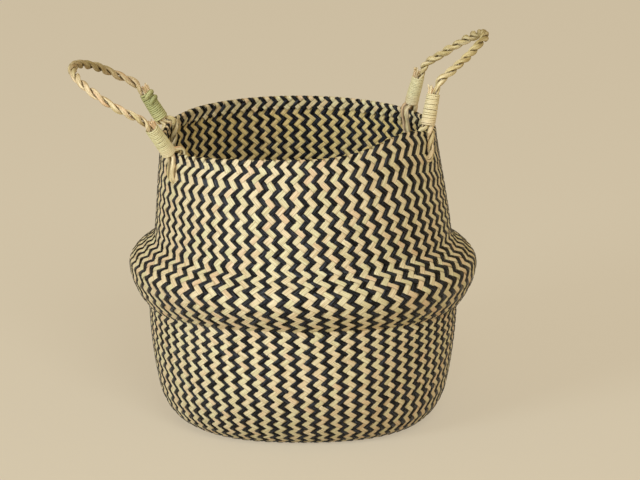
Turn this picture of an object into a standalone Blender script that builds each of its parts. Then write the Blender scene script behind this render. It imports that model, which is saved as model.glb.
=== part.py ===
"""Belly basket: a woven body with a folded belly, a turned-in rim and two rope handles.

Lengths are in metres and +Z is up. The origin is the centre of the underside.
The camera side of the basket is -Y, its left handle is at -X and its right one at +X.
"""

import math

import bmesh
import bpy
from mathutils import Matrix, Vector
from mathutils.geometry import interpolate_bezier

# Fabric of the body
WALL = 0.0026
SEAM_GAP = 0.00035
ROUND_STEPS = 64
OUTLINE_STEPS = 6

# Outer outline of the body, radius and height at each knot
BASE_PANEL_RADIUS = 0.096
BASE_RADIUS = 0.111
CORNER_RADIUS = 0.1505
CORNER_HEIGHT = 0.040
CREASE_RADIUS = 0.1605
CREASE_HEIGHT = 0.122
BELLY_RADIUS = 0.1806
BELLY_HEIGHT = 0.166
NECK_FOOT_RADIUS = 0.1545
NECK_FOOT_HEIGHT = 0.196
RIM_RADIUS = 0.1417
RIM_HEIGHT = 0.310

# How far each knot pulls on the outline that leaves or meets it
BASE_PULL = 0.021
CORNER_PULL = 0.024
WALL_PULL = 0.026
CREASE_PULL = 0.030
FOLD_PULL = 0.011
BELLY_PULL = 0.014
SHOULDER_PULL = 0.013
NECK_FOOT_PULL = 0.020
RIM_PULL = 0.040

# Leanings of the outline at its knots, outward for a positive angle
CORNER_LEAN = math.radians(12.0)
CREASE_LEAN = math.radians(2.0)
FOLD_LEAN = math.radians(52.0)
SHOULDER_LEAN = math.radians(-38.0)
NECK_LEAN = math.radians(-4.5)
RIM_LEAN = math.radians(-7.5)

# Turned-in hem of the rim
HEM_THICKNESS = 0.0016
HEM_DEPTH = 0.014
HEM_LIP = 0.005
RIM_ROUND_STEPS = 5

# The hand-woven rim rises at one handle, dips at the other and sits a little to the left
RIM_LIFT = 0.0155
RIM_LIFT_ANGLE = math.radians(-40.0)
RIM_LIFT_SPREAD = math.radians(15.0)
RIM_DIP = 0.0120
RIM_DIP_ANGLE = math.radians(-158.0)
RIM_DIP_SPREAD = math.radians(26.0)
RIM_SHIFT = -0.0047

# The crease under the belly rises at the front
CREASE_LIFT = 0.012
CREASE_LIFT_ANGLE = math.radians(-90.0)
CREASE_LIFT_SPREAD = math.radians(45.0)
CREASE_LIFT_REACH = 0.022

# The foot is flatter at the front and back than at the sides
FOOT_FLATTENING_SHARE = 0.10
FOOT_FLATTENING_HEIGHT = 0.065

# Rope of the handles
ROPE_DIAMETER = 0.0095
ROPE_PRESSED_DIAMETER = 0.0064
ROPE_PRESSED_OFFSET = 0.00255
ROPE_STEPS = 26
ROPE_SWELL_LENGTH = 0.012

# Cut end of the rope beside each leg
TAIL_DIAMETER = 0.0045
TAIL_OFFSET = 0.0033
TAIL_STUB = 0.006

# Whipping that binds the rope to its own end
WHIPPING_DIAMETER = 0.0145
WHIPPING_LENGTH = 0.034
WHIPPING_STRIP_THICKNESS = 0.0012
WHIPPING_TURNS = 9
WHIPPING_LOOP_STEPS = 14
WHIPPING_STRIP_GAP = 0.0005

# Eye of rope that goes over the rim and through the wall
EYE_STRAND_DIAMETER = 0.0054
EYE_DEPTH = 0.029
EYE_GAP = 0.0003
EYE_ROUND_STEPS = 8
EYE_HOLE_CLEARANCE = 0.0009
CUTTER_OVERRUN = 0.004

# Handles as they rest: where the legs stand on the rim and how the loop leans and spreads
HANDLES = {
    "left": {
        "front_angle": math.radians(-153.0),
        "back_angle": math.radians(163.0),
        "leg_lean": math.radians(31.0),
        "loop_lean": math.radians(59.7),
        "height": 0.1354,
        "stand_off": 0.0053,
        "shift": -0.023,
        "spread_share": 0.48,
        "roundness_share": 1.86,
    },
    "right": {
        "front_angle": math.radians(-22.0),
        "back_angle": math.radians(34.5),
        "leg_lean": math.radians(12.0),
        "loop_lean": math.radians(52.8),
        "height": 0.1216,
        "stand_off": 0.001,
        "shift": -0.010,
        "spread_share": -0.41,
        "roundness_share": 2.5,
    },
}
ARCH_CROWN_SHARE = 2.2
LOOP_BEND_LENGTH = 0.012
STRAIGHT_ABOVE_WHIPPING = 0.001

# Sizes that follow from the ones above
RIM_THICKNESS = WALL + SEAM_GAP + HEM_THICKNESS
RIM_HALF = RIM_THICKNESS / 2
EYE_OFFSET = RIM_HALF + EYE_GAP + EYE_STRAND_DIAMETER / 2
EYE_REACH = EYE_OFFSET + EYE_STRAND_DIAMETER / 2
WHIPPING_START = EYE_REACH + EYE_GAP
WHIPPING_END = WHIPPING_START + WHIPPING_LENGTH
ARCH_FOOT = WHIPPING_END + STRAIGHT_ABOVE_WHIPPING

COLOURS = {
    "woven_body": (0.50, 0.40, 0.26),
    "rim_hem": (0.46, 0.36, 0.22),
    "rope": (0.58, 0.44, 0.24),
    "whipping": (0.64, 0.60, 0.38),
}
FIBRE_ROUGHNESS = 0.62


def clear_scene():
    """Remove whatever the file opens with."""
    for thing in list(bpy.data.objects):
        bpy.data.objects.remove(thing, do_unlink=True)


def collection(name):
    """Return a new collection linked to the scene."""
    group = bpy.data.collections.new(name)
    bpy.context.scene.collection.children.link(group)
    return group


def material(name, colour_name):
    """Return a plain fibre material in one of the basket's colours."""
    made = bpy.data.materials.new(name)
    made.use_nodes = True
    shader = made.node_tree.nodes["Principled BSDF"]
    shader.inputs["Base Color"].default_value = (*COLOURS[colour_name], 1)
    shader.inputs["Roughness"].default_value = FIBRE_ROUGHNESS
    shader.inputs["Metallic"].default_value = 0
    return made


def add_object(name, data, group, colour_name=None):
    """Make an object of the data, in the group and with its own material."""
    made = bpy.data.objects.new(name, data)
    group.objects.link(made)
    if colour_name:
        data.materials.append(material(name, colour_name))
    return made


def as_mesh(thing, group, colour_name):
    """Replace an object by the mesh that its curve or modifiers give, welded."""
    bpy.context.view_layer.update()
    seen = thing.evaluated_get(bpy.context.evaluated_depsgraph_get())
    mesh = bpy.data.meshes.new_from_object(seen)
    mesh.materials.clear()
    name = thing.name
    place = thing.matrix_world.copy()
    bpy.data.objects.remove(thing, do_unlink=True)
    shape = bmesh.new()
    shape.from_mesh(mesh)
    bmesh.ops.remove_doubles(shape, verts=shape.verts, dist=SEAM_GAP / 100)
    bmesh.ops.recalc_face_normals(shape, faces=shape.faces)
    shape.to_mesh(mesh)
    shape.free()
    made = add_object(name, mesh, group, colour_name)
    made.matrix_world = place
    return made


def shade_round(mesh):
    """Shade a mesh smooth, with its hard edges kept."""
    mesh.shade_smooth()
    mesh.set_sharp_from_angle(angle=math.radians(40.0))


def leaning(length, lean):
    """Return a step up the wall, as radius and height, that leans outward by an angle."""
    return Vector((length * math.sin(lean), length * math.cos(lean), 0))


def stretch(start, start_pull, end_pull, end):
    """Return points of one curved stretch of the outline."""
    points = interpolate_bezier(start, start + start_pull, end + end_pull, end, OUTLINE_STEPS)
    return [Vector(point) for point in points]


def joined(*stretches):
    """Chain stretches that share their end knots."""
    points = list(stretches[0])
    for more in stretches[1:]:
        points.extend(more[1:])
    return points


def trimmed(points, at_start, at_end):
    """Draw in the ends of an outline, so that neighbours keep their seam."""
    inset = SEAM_GAP / 2
    result = [point.copy() for point in points]
    if at_start:
        result[0] += (points[1] - points[0]).normalized() * inset
    if at_end:
        result[-1] += (points[-2] - points[-1]).normalized() * inset
    return result


def body_outlines():
    """Return the outer outline of each woven zone, from the floor up."""
    seam = Vector((BASE_PANEL_RADIUS, 0, 0))
    base = Vector((BASE_RADIUS, 0, 0))
    corner = Vector((CORNER_RADIUS, CORNER_HEIGHT, 0))
    crease = Vector((CREASE_RADIUS, CREASE_HEIGHT, 0))
    belly = Vector((BELLY_RADIUS, BELLY_HEIGHT, 0))
    foot = Vector((NECK_FOOT_RADIUS, NECK_FOOT_HEIGHT, 0))
    rim = Vector((RIM_RADIUS, RIM_HEIGHT, 0))
    lower = joined(
        [seam, base],
        stretch(base, Vector((BASE_PULL, 0, 0)), -leaning(CORNER_PULL, CORNER_LEAN), corner),
        stretch(corner, leaning(WALL_PULL, CORNER_LEAN), -leaning(CREASE_PULL, CREASE_LEAN), crease),
    )
    fold = joined(
        stretch(crease, leaning(FOLD_PULL, FOLD_LEAN), -leaning(BELLY_PULL, 0), belly),
        stretch(belly, leaning(BELLY_PULL, 0), -leaning(SHOULDER_PULL, SHOULDER_LEAN), foot),
    )
    neck = stretch(foot, leaning(NECK_FOOT_PULL, NECK_LEAN), -leaning(RIM_PULL, RIM_LEAN), rim)
    return {
        "lower_wall": trimmed(lower, True, True),
        "belly_fold": trimmed(fold, True, True),
        "neck_wall": trimmed(neck, True, False),
    }


def swelling(angle, height, centre, spread):
    """Return a height that is full at one angle round the basket and fades beside it."""
    away = math.remainder(angle - centre, math.tau) / spread
    return height * math.exp(-away * away / 2)


def eased(share):
    """Return a share kept between 0 and 1 and eased at both ends."""
    share = min(max(share, 0), 1)
    return share * share * (3 - 2 * share)


def hand_woven(point):
    """Move a point of the even, turned basket to where the hand-woven one has it."""
    share = eased((point.z - NECK_FOOT_HEIGHT) / (RIM_HEIGHT - NECK_FOOT_HEIGHT))
    low = 1 - eased(point.z / FOOT_FLATTENING_HEIGHT)
    angle = math.atan2(point.y, point.x)
    flattening = FOOT_FLATTENING_SHARE * low * math.sin(angle) ** 4
    rim_rise = swelling(angle, RIM_LIFT, RIM_LIFT_ANGLE, RIM_LIFT_SPREAD)
    rim_rise -= swelling(angle, RIM_DIP, RIM_DIP_ANGLE, RIM_DIP_SPREAD)
    crease_rise = swelling(angle, CREASE_LIFT, CREASE_LIFT_ANGLE, CREASE_LIFT_SPREAD)
    from_crease = (point.z - CREASE_HEIGHT) / CREASE_LIFT_REACH
    crease_rise *= math.exp(-from_crease * from_crease / 2)
    rise = rim_rise * share + crease_rise
    return Vector((point.x + RIM_SHIFT * share, point.y * (1 - flattening), point.z + rise))


def rim_point(angle, outward, upward):
    """Return a place near the rim's top edge, from steps out of and up the wall there."""
    up = leaning(1, RIM_LEAN)
    out = Vector((up.y, -up.x, 0))
    place = Vector((RIM_RADIUS, RIM_HEIGHT, 0)) + out * outward + up * upward
    return hand_woven(Vector((place.x * math.cos(angle), place.x * math.sin(angle), place.y)))


def screw_round(made):
    """Turn a profile in the XZ plane once round the Z axis."""
    turn = made.modifiers.new("turn", "SCREW")
    turn.axis = "Z"
    turn.angle = math.tau
    turn.steps = ROUND_STEPS
    turn.render_steps = ROUND_STEPS
    turn.use_merge_vertices = True
    turn.merge_threshold = SEAM_GAP / 100


def profile_mesh(name, points, closed):
    """Return a mesh of edges along a profile of radius and height, top to bottom."""
    mesh = bpy.data.meshes.new(name)
    verts = [(point.x, 0, point.y) for point in points]
    edges = [(index, index + 1) for index in range(len(verts) - 1)]
    if closed:
        edges.append((len(verts) - 1, 0))
    mesh.from_pydata(verts, edges, [])
    return mesh


def shape_by_hand(made, group, colour_name):
    """Give a turned piece the uneven shape of the hand-woven basket."""
    shaped = as_mesh(made, group, colour_name)
    for vertex in shaped.data.vertices:
        vertex.co = hand_woven(vertex.co)
    shade_round(shaped.data)
    return shaped


def turned_shell(name, outline, group, colour_name):
    """Make one woven zone: its outline turned, with the fabric's thickness inside it."""
    made = add_object(name, profile_mesh(name, outline[::-1], False), group)
    screw_round(made)
    skin = made.modifiers.new("fabric", "SOLIDIFY")
    skin.thickness = WALL
    skin.offset = -1
    skin.use_even_offset = True
    return shape_by_hand(made, group, colour_name)


def make_base_panel(group):
    """Make the flat woven disc that the basket stands on."""
    mesh = bpy.data.meshes.new("base_panel")
    shape = bmesh.new()
    radius = BASE_PANEL_RADIUS - SEAM_GAP / 2
    bmesh.ops.create_cone(
        shape, cap_ends=True, segments=ROUND_STEPS, radius1=radius, radius2=radius, depth=WALL,
        matrix=Matrix.Translation((0, 0, WALL / 2)),
    )
    for vertex in shape.verts:
        vertex.co = hand_woven(vertex.co)
    shape.to_mesh(mesh)
    shape.free()
    return add_object("base_panel", mesh, group, "woven_body")


def make_rim_hem(group):
    """Make the rim's edge, turned over the wall and tucked down inside it."""
    up = leaning(1, RIM_LEAN)
    out = Vector((up.y, -up.x, 0))
    top = Vector((RIM_RADIUS, RIM_HEIGHT, 0))
    inner_face = WALL + SEAM_GAP
    corners = [
        (0, -RIM_HALF), (0, -HEM_LIP), (-inner_face, -HEM_LIP), (-inner_face, -HEM_DEPTH),
        (-RIM_THICKNESS, -HEM_DEPTH), (-RIM_THICKNESS, -RIM_HALF),
    ]
    for step in range(1, RIM_ROUND_STEPS):
        turn = math.pi * step / RIM_ROUND_STEPS
        corners.append((-RIM_HALF - RIM_HALF * math.cos(turn), -RIM_HALF + RIM_HALF * math.sin(turn)))
    points = [top + out * across + up * along for across, along in corners]
    made = add_object("rim_hem", profile_mesh("rim_hem", points, True), group)
    screw_round(made)
    return shape_by_hand(made, group, "rim_hem")


def leg_frame(angle):
    """Return the pivot of a leg on the rim, with the ways out of, up and along the wall."""
    pivot = rim_point(angle, -RIM_HALF, -RIM_HALF)
    small = SEAM_GAP
    ahead = rim_point(angle + small / RIM_RADIUS, -RIM_HALF, -RIM_HALF)
    below = rim_point(angle, -RIM_HALF, -EYE_DEPTH)
    along = (ahead - pivot).normalized()
    out = along.cross(pivot - below).normalized()
    return pivot, out, out.cross(along), along


def make_eye(name, angle, group):
    """Make the closed eye of rope that hangs over the rim and passes through the wall."""
    pivot, out, up, _ = leg_frame(angle)
    drop = EYE_DEPTH - RIM_HALF - EYE_OFFSET
    points = []
    for centre, first in ((pivot, 0), (pivot - up * drop, math.pi)):
        for step in range(EYE_ROUND_STEPS + 1):
            turn = first + math.pi * step / EYE_ROUND_STEPS
            points.append(centre + (out * math.cos(turn) + up * math.sin(turn)) * EYE_OFFSET)
    return rope_curve(name, points, EYE_STRAND_DIAMETER, group, cyclic=True)


def make_eye_cutter(name, angle, group):
    """Make the cutter of the hole that an eye goes through, square to the wall."""
    pivot, out, up, along = leg_frame(angle)
    radius = EYE_STRAND_DIAMETER / 2 + EYE_HOLE_CLEARANCE
    place = pivot - up * (EYE_DEPTH - RIM_HALF)
    mesh = bpy.data.meshes.new(name)
    shape = bmesh.new()
    bmesh.ops.create_cone(
        shape, cap_ends=True, segments=ROUND_STEPS // 4, radius1=radius, radius2=radius,
        depth=RIM_THICKNESS + CUTTER_OVERRUN * 2,
    )
    shape.to_mesh(mesh)
    shape.free()
    made = add_object(name, mesh, group)
    turn = Matrix((along, up, out)).transposed().to_4x4()
    made.matrix_world = Matrix.Translation(place) @ turn
    made.hide_render = True
    made.display_type = "WIRE"
    return made


def rope_curve(name, points, diameter, group, cyclic=False, thickness_shares=None, sides=2):
    """Make a round rope along points, with its thickness at each as a share of its diameter."""
    curve = bpy.data.curves.new(name, "CURVE")
    curve.dimensions = "3D"
    curve.bevel_depth = diameter / 2
    curve.bevel_resolution = sides
    curve.use_fill_caps = True
    run = curve.splines.new("POLY")
    run.points.add(len(points) - 1)
    for index, point in enumerate(points):
        run.points[index].co = (*point, 1)
        run.points[index].radius = thickness_shares[index] if thickness_shares else 1
    run.use_cyclic_u = cyclic
    run.use_smooth = True
    return add_object(name, curve, group, "rope")


class HandleShape:
    """The resting shape of one handle, in its own hinge frame."""

    def __init__(self, sizes):
        """Work out the hinge frame from where the legs stand on the rim."""
        self.sizes = sizes
        self.front = leg_frame(sizes["front_angle"])[0]
        self.back = leg_frame(sizes["back_angle"])[0]
        self.middle = (self.front + self.back) / 2
        self.across = (self.back - self.front).normalized()
        self.half = (self.back - self.front).length / 2
        side = self.across.cross(Vector((0, 0, 1))).normalized()
        self.out = side if side.dot(self.middle) > 0 else -side
        up = self.out.cross(self.across)
        self.up = up if up.z > 0 else -up
        lean = sizes["leg_lean"]
        below = self.out * math.cos(lean) - self.up * math.sin(lean)
        self.foot = self.middle + below * sizes["stand_off"]

    def lean_steps(self, height):
        """Return the steps out and up to a height measured along the leaning loop."""
        leg, loop = self.sizes["leg_lean"], self.sizes["loop_lean"]
        straight = min(height, ARCH_FOOT)
        outward = straight * math.sin(leg)
        upward = straight * math.cos(leg)
        bend = min(max(height - ARCH_FOOT, 0), LOOP_BEND_LENGTH)
        if bend:
            rate = (loop - leg) / LOOP_BEND_LENGTH
            outward += (math.cos(leg) - math.cos(leg + rate * bend)) / rate
            upward += (math.sin(leg + rate * bend) - math.sin(leg)) / rate
        rest = max(height - ARCH_FOOT - LOOP_BEND_LENGTH, 0)
        return outward + rest * math.sin(loop), upward + rest * math.cos(loop)

    def place(self, side_share, height):
        """Return the point at a share of the loop's width, -1 to 1, and a height."""
        climbed = height / self.sizes["height"]
        width = self.half * (1 + self.sizes["spread_share"] * climbed)
        outward, upward = self.lean_steps(height)
        sideways = width * side_share + self.sizes["shift"] * climbed
        return self.foot + self.across * sideways + self.out * outward + self.up * upward

    def leg(self, side):
        """Return a leg's foot, its direction and the way that faces in over the basket."""
        foot = self.place(side, 0)
        direction = (self.place(side, WHIPPING_END) - foot).normalized()
        inward = direction.cross(self.across).normalized()
        return foot, direction, inward if inward.z > 0 else -inward

    def rope_points(self):
        """Return the handle rope's centreline, front leg to back, with its thickness shares."""
        pressed = ROPE_PRESSED_DIAMETER / ROPE_DIAMETER
        points = []
        shares = []
        feet = []
        for side in (-1, 1):
            foot, direction, inward = self.leg(side)
            start = foot - inward * ROPE_PRESSED_OFFSET
            feet.append([start + direction * height for height in (WHIPPING_START, WHIPPING_END, ARCH_FOOT)])
        points.extend(feet[0])
        shares.extend([pressed] * len(feet[0]))
        arch_height = self.sizes["height"] - ARCH_FOOT
        for step in range(1, ROPE_STEPS):
            turn = math.pi * step / ROPE_STEPS
            cosine = math.cos(turn)
            side = -math.copysign(abs(cosine) ** (2 / self.sizes["roundness_share"]), cosine)
            climbed = arch_height * math.sin(turn) ** (2 / ARCH_CROWN_SHARE)
            swell = min(max(climbed - TAIL_STUB, 0) / ROPE_SWELL_LENGTH, 1)
            inward = self.leg(math.copysign(1, side))[2]
            offset = inward * (ROPE_PRESSED_OFFSET * (1 - swell))
            points.append(self.place(side, ARCH_FOOT + climbed) - offset)
            shares.append(pressed + (1 - pressed) * swell)
        points.extend(reversed(feet[1]))
        shares.extend([pressed] * len(feet[1]))
        return points, shares


def make_tail(name, shape, side, group):
    """Make the rope's cut end, bound beside the leg and standing out of the whipping."""
    foot, direction, inward = shape.leg(side)
    start = foot + inward * TAIL_OFFSET
    ends = [start + direction * height for height in (WHIPPING_START, WHIPPING_END + TAIL_STUB)]
    return rope_curve(name, ends, TAIL_DIAMETER, group)


def make_whipping(name, shape, side, group, guides):
    """Make the flat strip that is wound in one run round a leg and its cut end."""
    foot, direction, inward = shape.leg(side)
    pitch = (WHIPPING_LENGTH + WHIPPING_STRIP_GAP) / (WHIPPING_TURNS + 1)
    width = pitch - WHIPPING_STRIP_GAP
    radius = (WHIPPING_DIAMETER - WHIPPING_STRIP_THICKNESS) / 2
    points = []
    for step in range(WHIPPING_TURNS * WHIPPING_LOOP_STEPS + 1):
        share = step / WHIPPING_LOOP_STEPS
        turn = math.tau * share
        height = WHIPPING_START + width / 2 + pitch * share
        points.append((radius * math.cos(turn), radius * math.sin(turn), height))
    loop = WHIPPING_LOOP_STEPS
    nearest = min(
        (Vector(points[index + loop]) - Vector(points[index])).length
        for index in range(len(points) - loop)
    )
    print(f"{name}: least gap between turns {1000 * (nearest - width):.2f} mm")
    section = bpy.data.curves.new(name + "_section", "CURVE")
    section.dimensions = "2D"
    outline = section.splines.new("POLY")
    half = width / 2
    bow = WHIPPING_STRIP_THICKNESS / 2
    corners = [(-bow / 2, -half), (bow, -half / 2), (bow, half / 2), (-bow / 2, half), (-bow, 0)]
    outline.points.add(len(corners) - 1)
    for index, corner in enumerate(corners):
        outline.points[index].co = (*corner, 0, 1)
    outline.use_cyclic_u = True
    guide = add_object(name + "_section", section, guides)
    guide.hide_render = True
    guide.display_type = "WIRE"
    curve = bpy.data.curves.new(name, "CURVE")
    curve.dimensions = "3D"
    curve.bevel_mode = "OBJECT"
    curve.bevel_object = guide
    curve.twist_mode = "Z_UP"
    curve.use_fill_caps = True
    run = curve.splines.new("POLY")
    run.points.add(len(points) - 1)
    for index, point in enumerate(points):
        run.points[index].co = (*point, 1)
    made = add_object(name, curve, group)
    side_way = direction.cross(inward)
    turn = Matrix((inward, side_way, direction)).transposed().to_4x4()
    made.matrix_world = Matrix.Translation(foot) @ turn
    return made


def add_pivot(name, place, group):
    """Add an empty that marks a joint's axis."""
    pivot = bpy.data.objects.new(name, None)
    pivot.location = place
    group.objects.link(pivot)
    return pivot


def attach(child, parent):
    """Parent an object and keep it where it is."""
    bpy.context.view_layer.update()
    place = child.matrix_world.copy()
    child.parent = parent
    child.matrix_parent_inverse = parent.matrix_world.inverted()
    child.matrix_world = place


def main():
    """Build the whole basket."""
    clear_scene()
    parts = collection("belly_basket")
    guides = collection("cutters_and_guides")
    outlines = body_outlines()
    make_base_panel(parts)
    turned_shell("lower_wall", outlines["lower_wall"], parts, "woven_body")
    turned_shell("belly_fold", outlines["belly_fold"], parts, "woven_body")
    neck_outline = outlines["neck_wall"]
    top = leaning(HEM_LIP + SEAM_GAP, RIM_LEAN)
    neck_outline = [point for point in neck_outline if point.y < RIM_HEIGHT - HEM_LIP * 2]
    neck_outline.append(Vector((RIM_RADIUS, RIM_HEIGHT, 0)) - top)
    neck = turned_shell("neck_wall", neck_outline, parts, "woven_body")
    hem = make_rim_hem(parts)
    neck_pivot = add_pivot("neck_slide_axis", (0, 0, CREASE_HEIGHT), parts)
    for side, sizes in HANDLES.items():
        shape = HandleShape(sizes)
        pivot = add_pivot(side + "_handle_axis", shape.middle, parts)
        attach(pivot, neck_pivot)
        points, shares = shape.rope_points()
        rope = rope_curve(side + "_handle_rope", points, ROPE_DIAMETER, parts, thickness_shares=shares)
        attach(rope, pivot)
        for place, share in (("front", -1), ("back", 1)):
            angle = sizes[place + "_angle"]
            eye = make_eye(f"{side}_{place}_eye", angle, parts)
            attach(eye, neck_pivot)
            cutter = make_eye_cutter(f"{side}_{place}_hole", angle, guides)
            hole = neck.modifiers.new(cutter.name, "BOOLEAN")
            hole.operation = "DIFFERENCE"
            hole.object = cutter
            attach(make_tail(f"{side}_{place}_rope_end", shape, share, parts), pivot)
            whipping = make_whipping(f"{side}_{place}_whipping", shape, share, parts, guides)
            whipping = as_mesh(whipping, parts, "whipping")
            attach(whipping, pivot)
    attach(neck, neck_pivot)
    attach(hem, neck_pivot)


main()
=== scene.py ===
"""A belly basket plaited from black and natural sedge, dressed over its solids.

Lengths are in metres and +Z is up. The camera side of the basket is -Y, its left handle is at
-X and its right one at +X.
"""

from __future__ import annotations

import logging
import math
from dataclasses import dataclass, field
from enum import Enum
from typing import Any

import bpy
import numpy as np
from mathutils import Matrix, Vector
from mathutils.geometry import interpolate_bezier

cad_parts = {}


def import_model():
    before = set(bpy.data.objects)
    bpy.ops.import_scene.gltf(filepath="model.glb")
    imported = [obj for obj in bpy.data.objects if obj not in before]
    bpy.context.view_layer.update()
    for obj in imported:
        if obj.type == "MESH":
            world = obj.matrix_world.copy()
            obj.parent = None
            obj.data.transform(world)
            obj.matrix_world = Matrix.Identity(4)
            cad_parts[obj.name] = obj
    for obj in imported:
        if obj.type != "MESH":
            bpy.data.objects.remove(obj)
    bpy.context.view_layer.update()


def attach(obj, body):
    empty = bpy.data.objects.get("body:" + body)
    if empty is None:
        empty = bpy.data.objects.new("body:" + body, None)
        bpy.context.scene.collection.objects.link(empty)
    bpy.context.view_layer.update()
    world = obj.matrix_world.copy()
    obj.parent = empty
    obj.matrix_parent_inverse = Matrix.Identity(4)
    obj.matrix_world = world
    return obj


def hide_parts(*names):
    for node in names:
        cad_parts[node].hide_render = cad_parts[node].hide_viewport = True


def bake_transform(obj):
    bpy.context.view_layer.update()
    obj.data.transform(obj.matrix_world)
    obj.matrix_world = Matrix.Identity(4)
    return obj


LOG = logging.getLogger("belly_basket")
SEED = 20

Colour = tuple[float, float, float]

# The numbers that every mesh holds for its finish: the way along a strip, the way across it,
# the tone it has of its own, and the share of the finish's second colour. Towards the ends of
# the way across the finish paints shade; on a rope that number marks its painted grooves and
# the side of a ply that lies on the other ply
FACTS = ("along", "across", "strip", "toned")

# The name that the unwrapped picture of every piece has, and the room round each row in it
UNWRAPPED = "OFBake"
ROW_MARGIN = 0.06
END_MARGIN = 0.001

# How many rows of crossings one zigzag of the twill takes
TWILL = 4

# A strip's section: across its outer side and back across its inner side
STRIP_ACROSS = np.array([-1.0, 0.0, 1.0, 1.0, 0.0, -1.0])
STRIP_INSIDE = np.array([0.0, 0.0, 0.0, 1.0, 1.0, 1.0])

# The sections of a wound strip and of a cut fibre: across it, and out of it as a share of its
# thickness. Towards their ends across, the finish paints shade between a whipping's turns and
# along a fibre's sides
WOUND_SECTION = np.array([
    [-1.0, -0.82, -0.35, 0.35, 0.82, 1.0, 0.6, -0.6],
    [-0.4, 0.2, 0.5, 0.5, 0.2, -0.4, -0.5, -0.5],
])
FIBRE_SECTION = np.array([
    [-1.0, -0.5, 0.5, 1.0, 0.5, -0.5],
    [0.0, 0.5, 0.5, 0.0, -0.5, -0.5],
])


class Body(Enum):
    """The moving bodies that the pieces ride on."""

    BASKET = "basket"
    NECK = "neck"
    LEFT = "left_handle"
    RIGHT = "right_handle"


class Slot(Enum):
    """Names for material slots, which no piece in this script uses."""

    WOVEN = "woven_sedge"
    ROPE = "sedge_rope"
    WHIPPING = "whipping"


class Dye(Enum):
    """What a strip of sedge was dyed, with the size that goes with it."""

    BLACK = (0.41, 0.08, 0.50, 0.0017)
    NATURAL = (0.59, -0.08, 0.50, 0.0008)

    def __init__(self, outside: float, growth: float, inside: float, thickness: float) -> None:
        """Hold the sizes of its strips.

        Args:
            outside: a strip's share of a pair on the outside.
            growth: how much more that is on the right-hand side.
            inside: its share on the inside.
            thickness: its thickness.
        """
        self.outside = outside
        self.growth = growth
        self.inside = inside
        self.thickness = thickness


# Shader writing


class Wire:
    """A socket's value, in a form that sums and products can be written with."""

    def __init__(self, sheet: ShaderSheet, socket: bpy.types.NodeSocket) -> None:
        """Hold a socket of a shader sheet."""
        self.sheet = sheet
        self.socket = socket

    def _maths(self, operation: str, *values: Any) -> Wire:
        """Add a Math node.

        Args:
            operation: the node's operation.
            values: its inputs in order, wires or numbers.

        Returns:
            The node's value.
        """
        inputs = dict(enumerate(values))
        return self.sheet.node("ShaderNodeMath", {"operation": operation}, inputs)["Value"]

    def __add__(self, other: Any) -> Wire:
        """Return the sum."""
        return self._maths("ADD", self, other)

    def __radd__(self, other: Any) -> Wire:
        """Return the sum."""
        return self._maths("ADD", other, self)

    def __sub__(self, other: Any) -> Wire:
        """Return the difference."""
        return self._maths("SUBTRACT", self, other)

    def __rsub__(self, other: Any) -> Wire:
        """Return the difference, with this value taken away."""
        return self._maths("SUBTRACT", other, self)

    def __mul__(self, other: Any) -> Wire:
        """Return the product."""
        return self._maths("MULTIPLY", self, other)

    def __rmul__(self, other: Any) -> Wire:
        """Return the product."""
        return self._maths("MULTIPLY", other, self)

    def __truediv__(self, other: Any) -> Wire:
        """Return the quotient."""
        return self._maths("DIVIDE", self, other)

    def __rtruediv__(self, other: Any) -> Wire:
        """Return the quotient, with this value below the line."""
        return self._maths("DIVIDE", other, self)

    def __abs__(self) -> Wire:
        """Return the value without its sign."""
        return self._maths("ABSOLUTE", self)


class Outputs:
    """The outputs of one node, by name."""

    def __init__(self, sheet: ShaderSheet, node: bpy.types.Node) -> None:
        """Hold a node of a shader sheet."""
        self.sheet = sheet
        self.node = node

    def __getitem__(self, name: str) -> Wire:
        """Return one output as a wire, the first that is in use where names repeat."""
        found = [socket for socket in self.node.outputs if socket.name == name and socket.enabled]
        return Wire(self.sheet, found[0])


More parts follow.
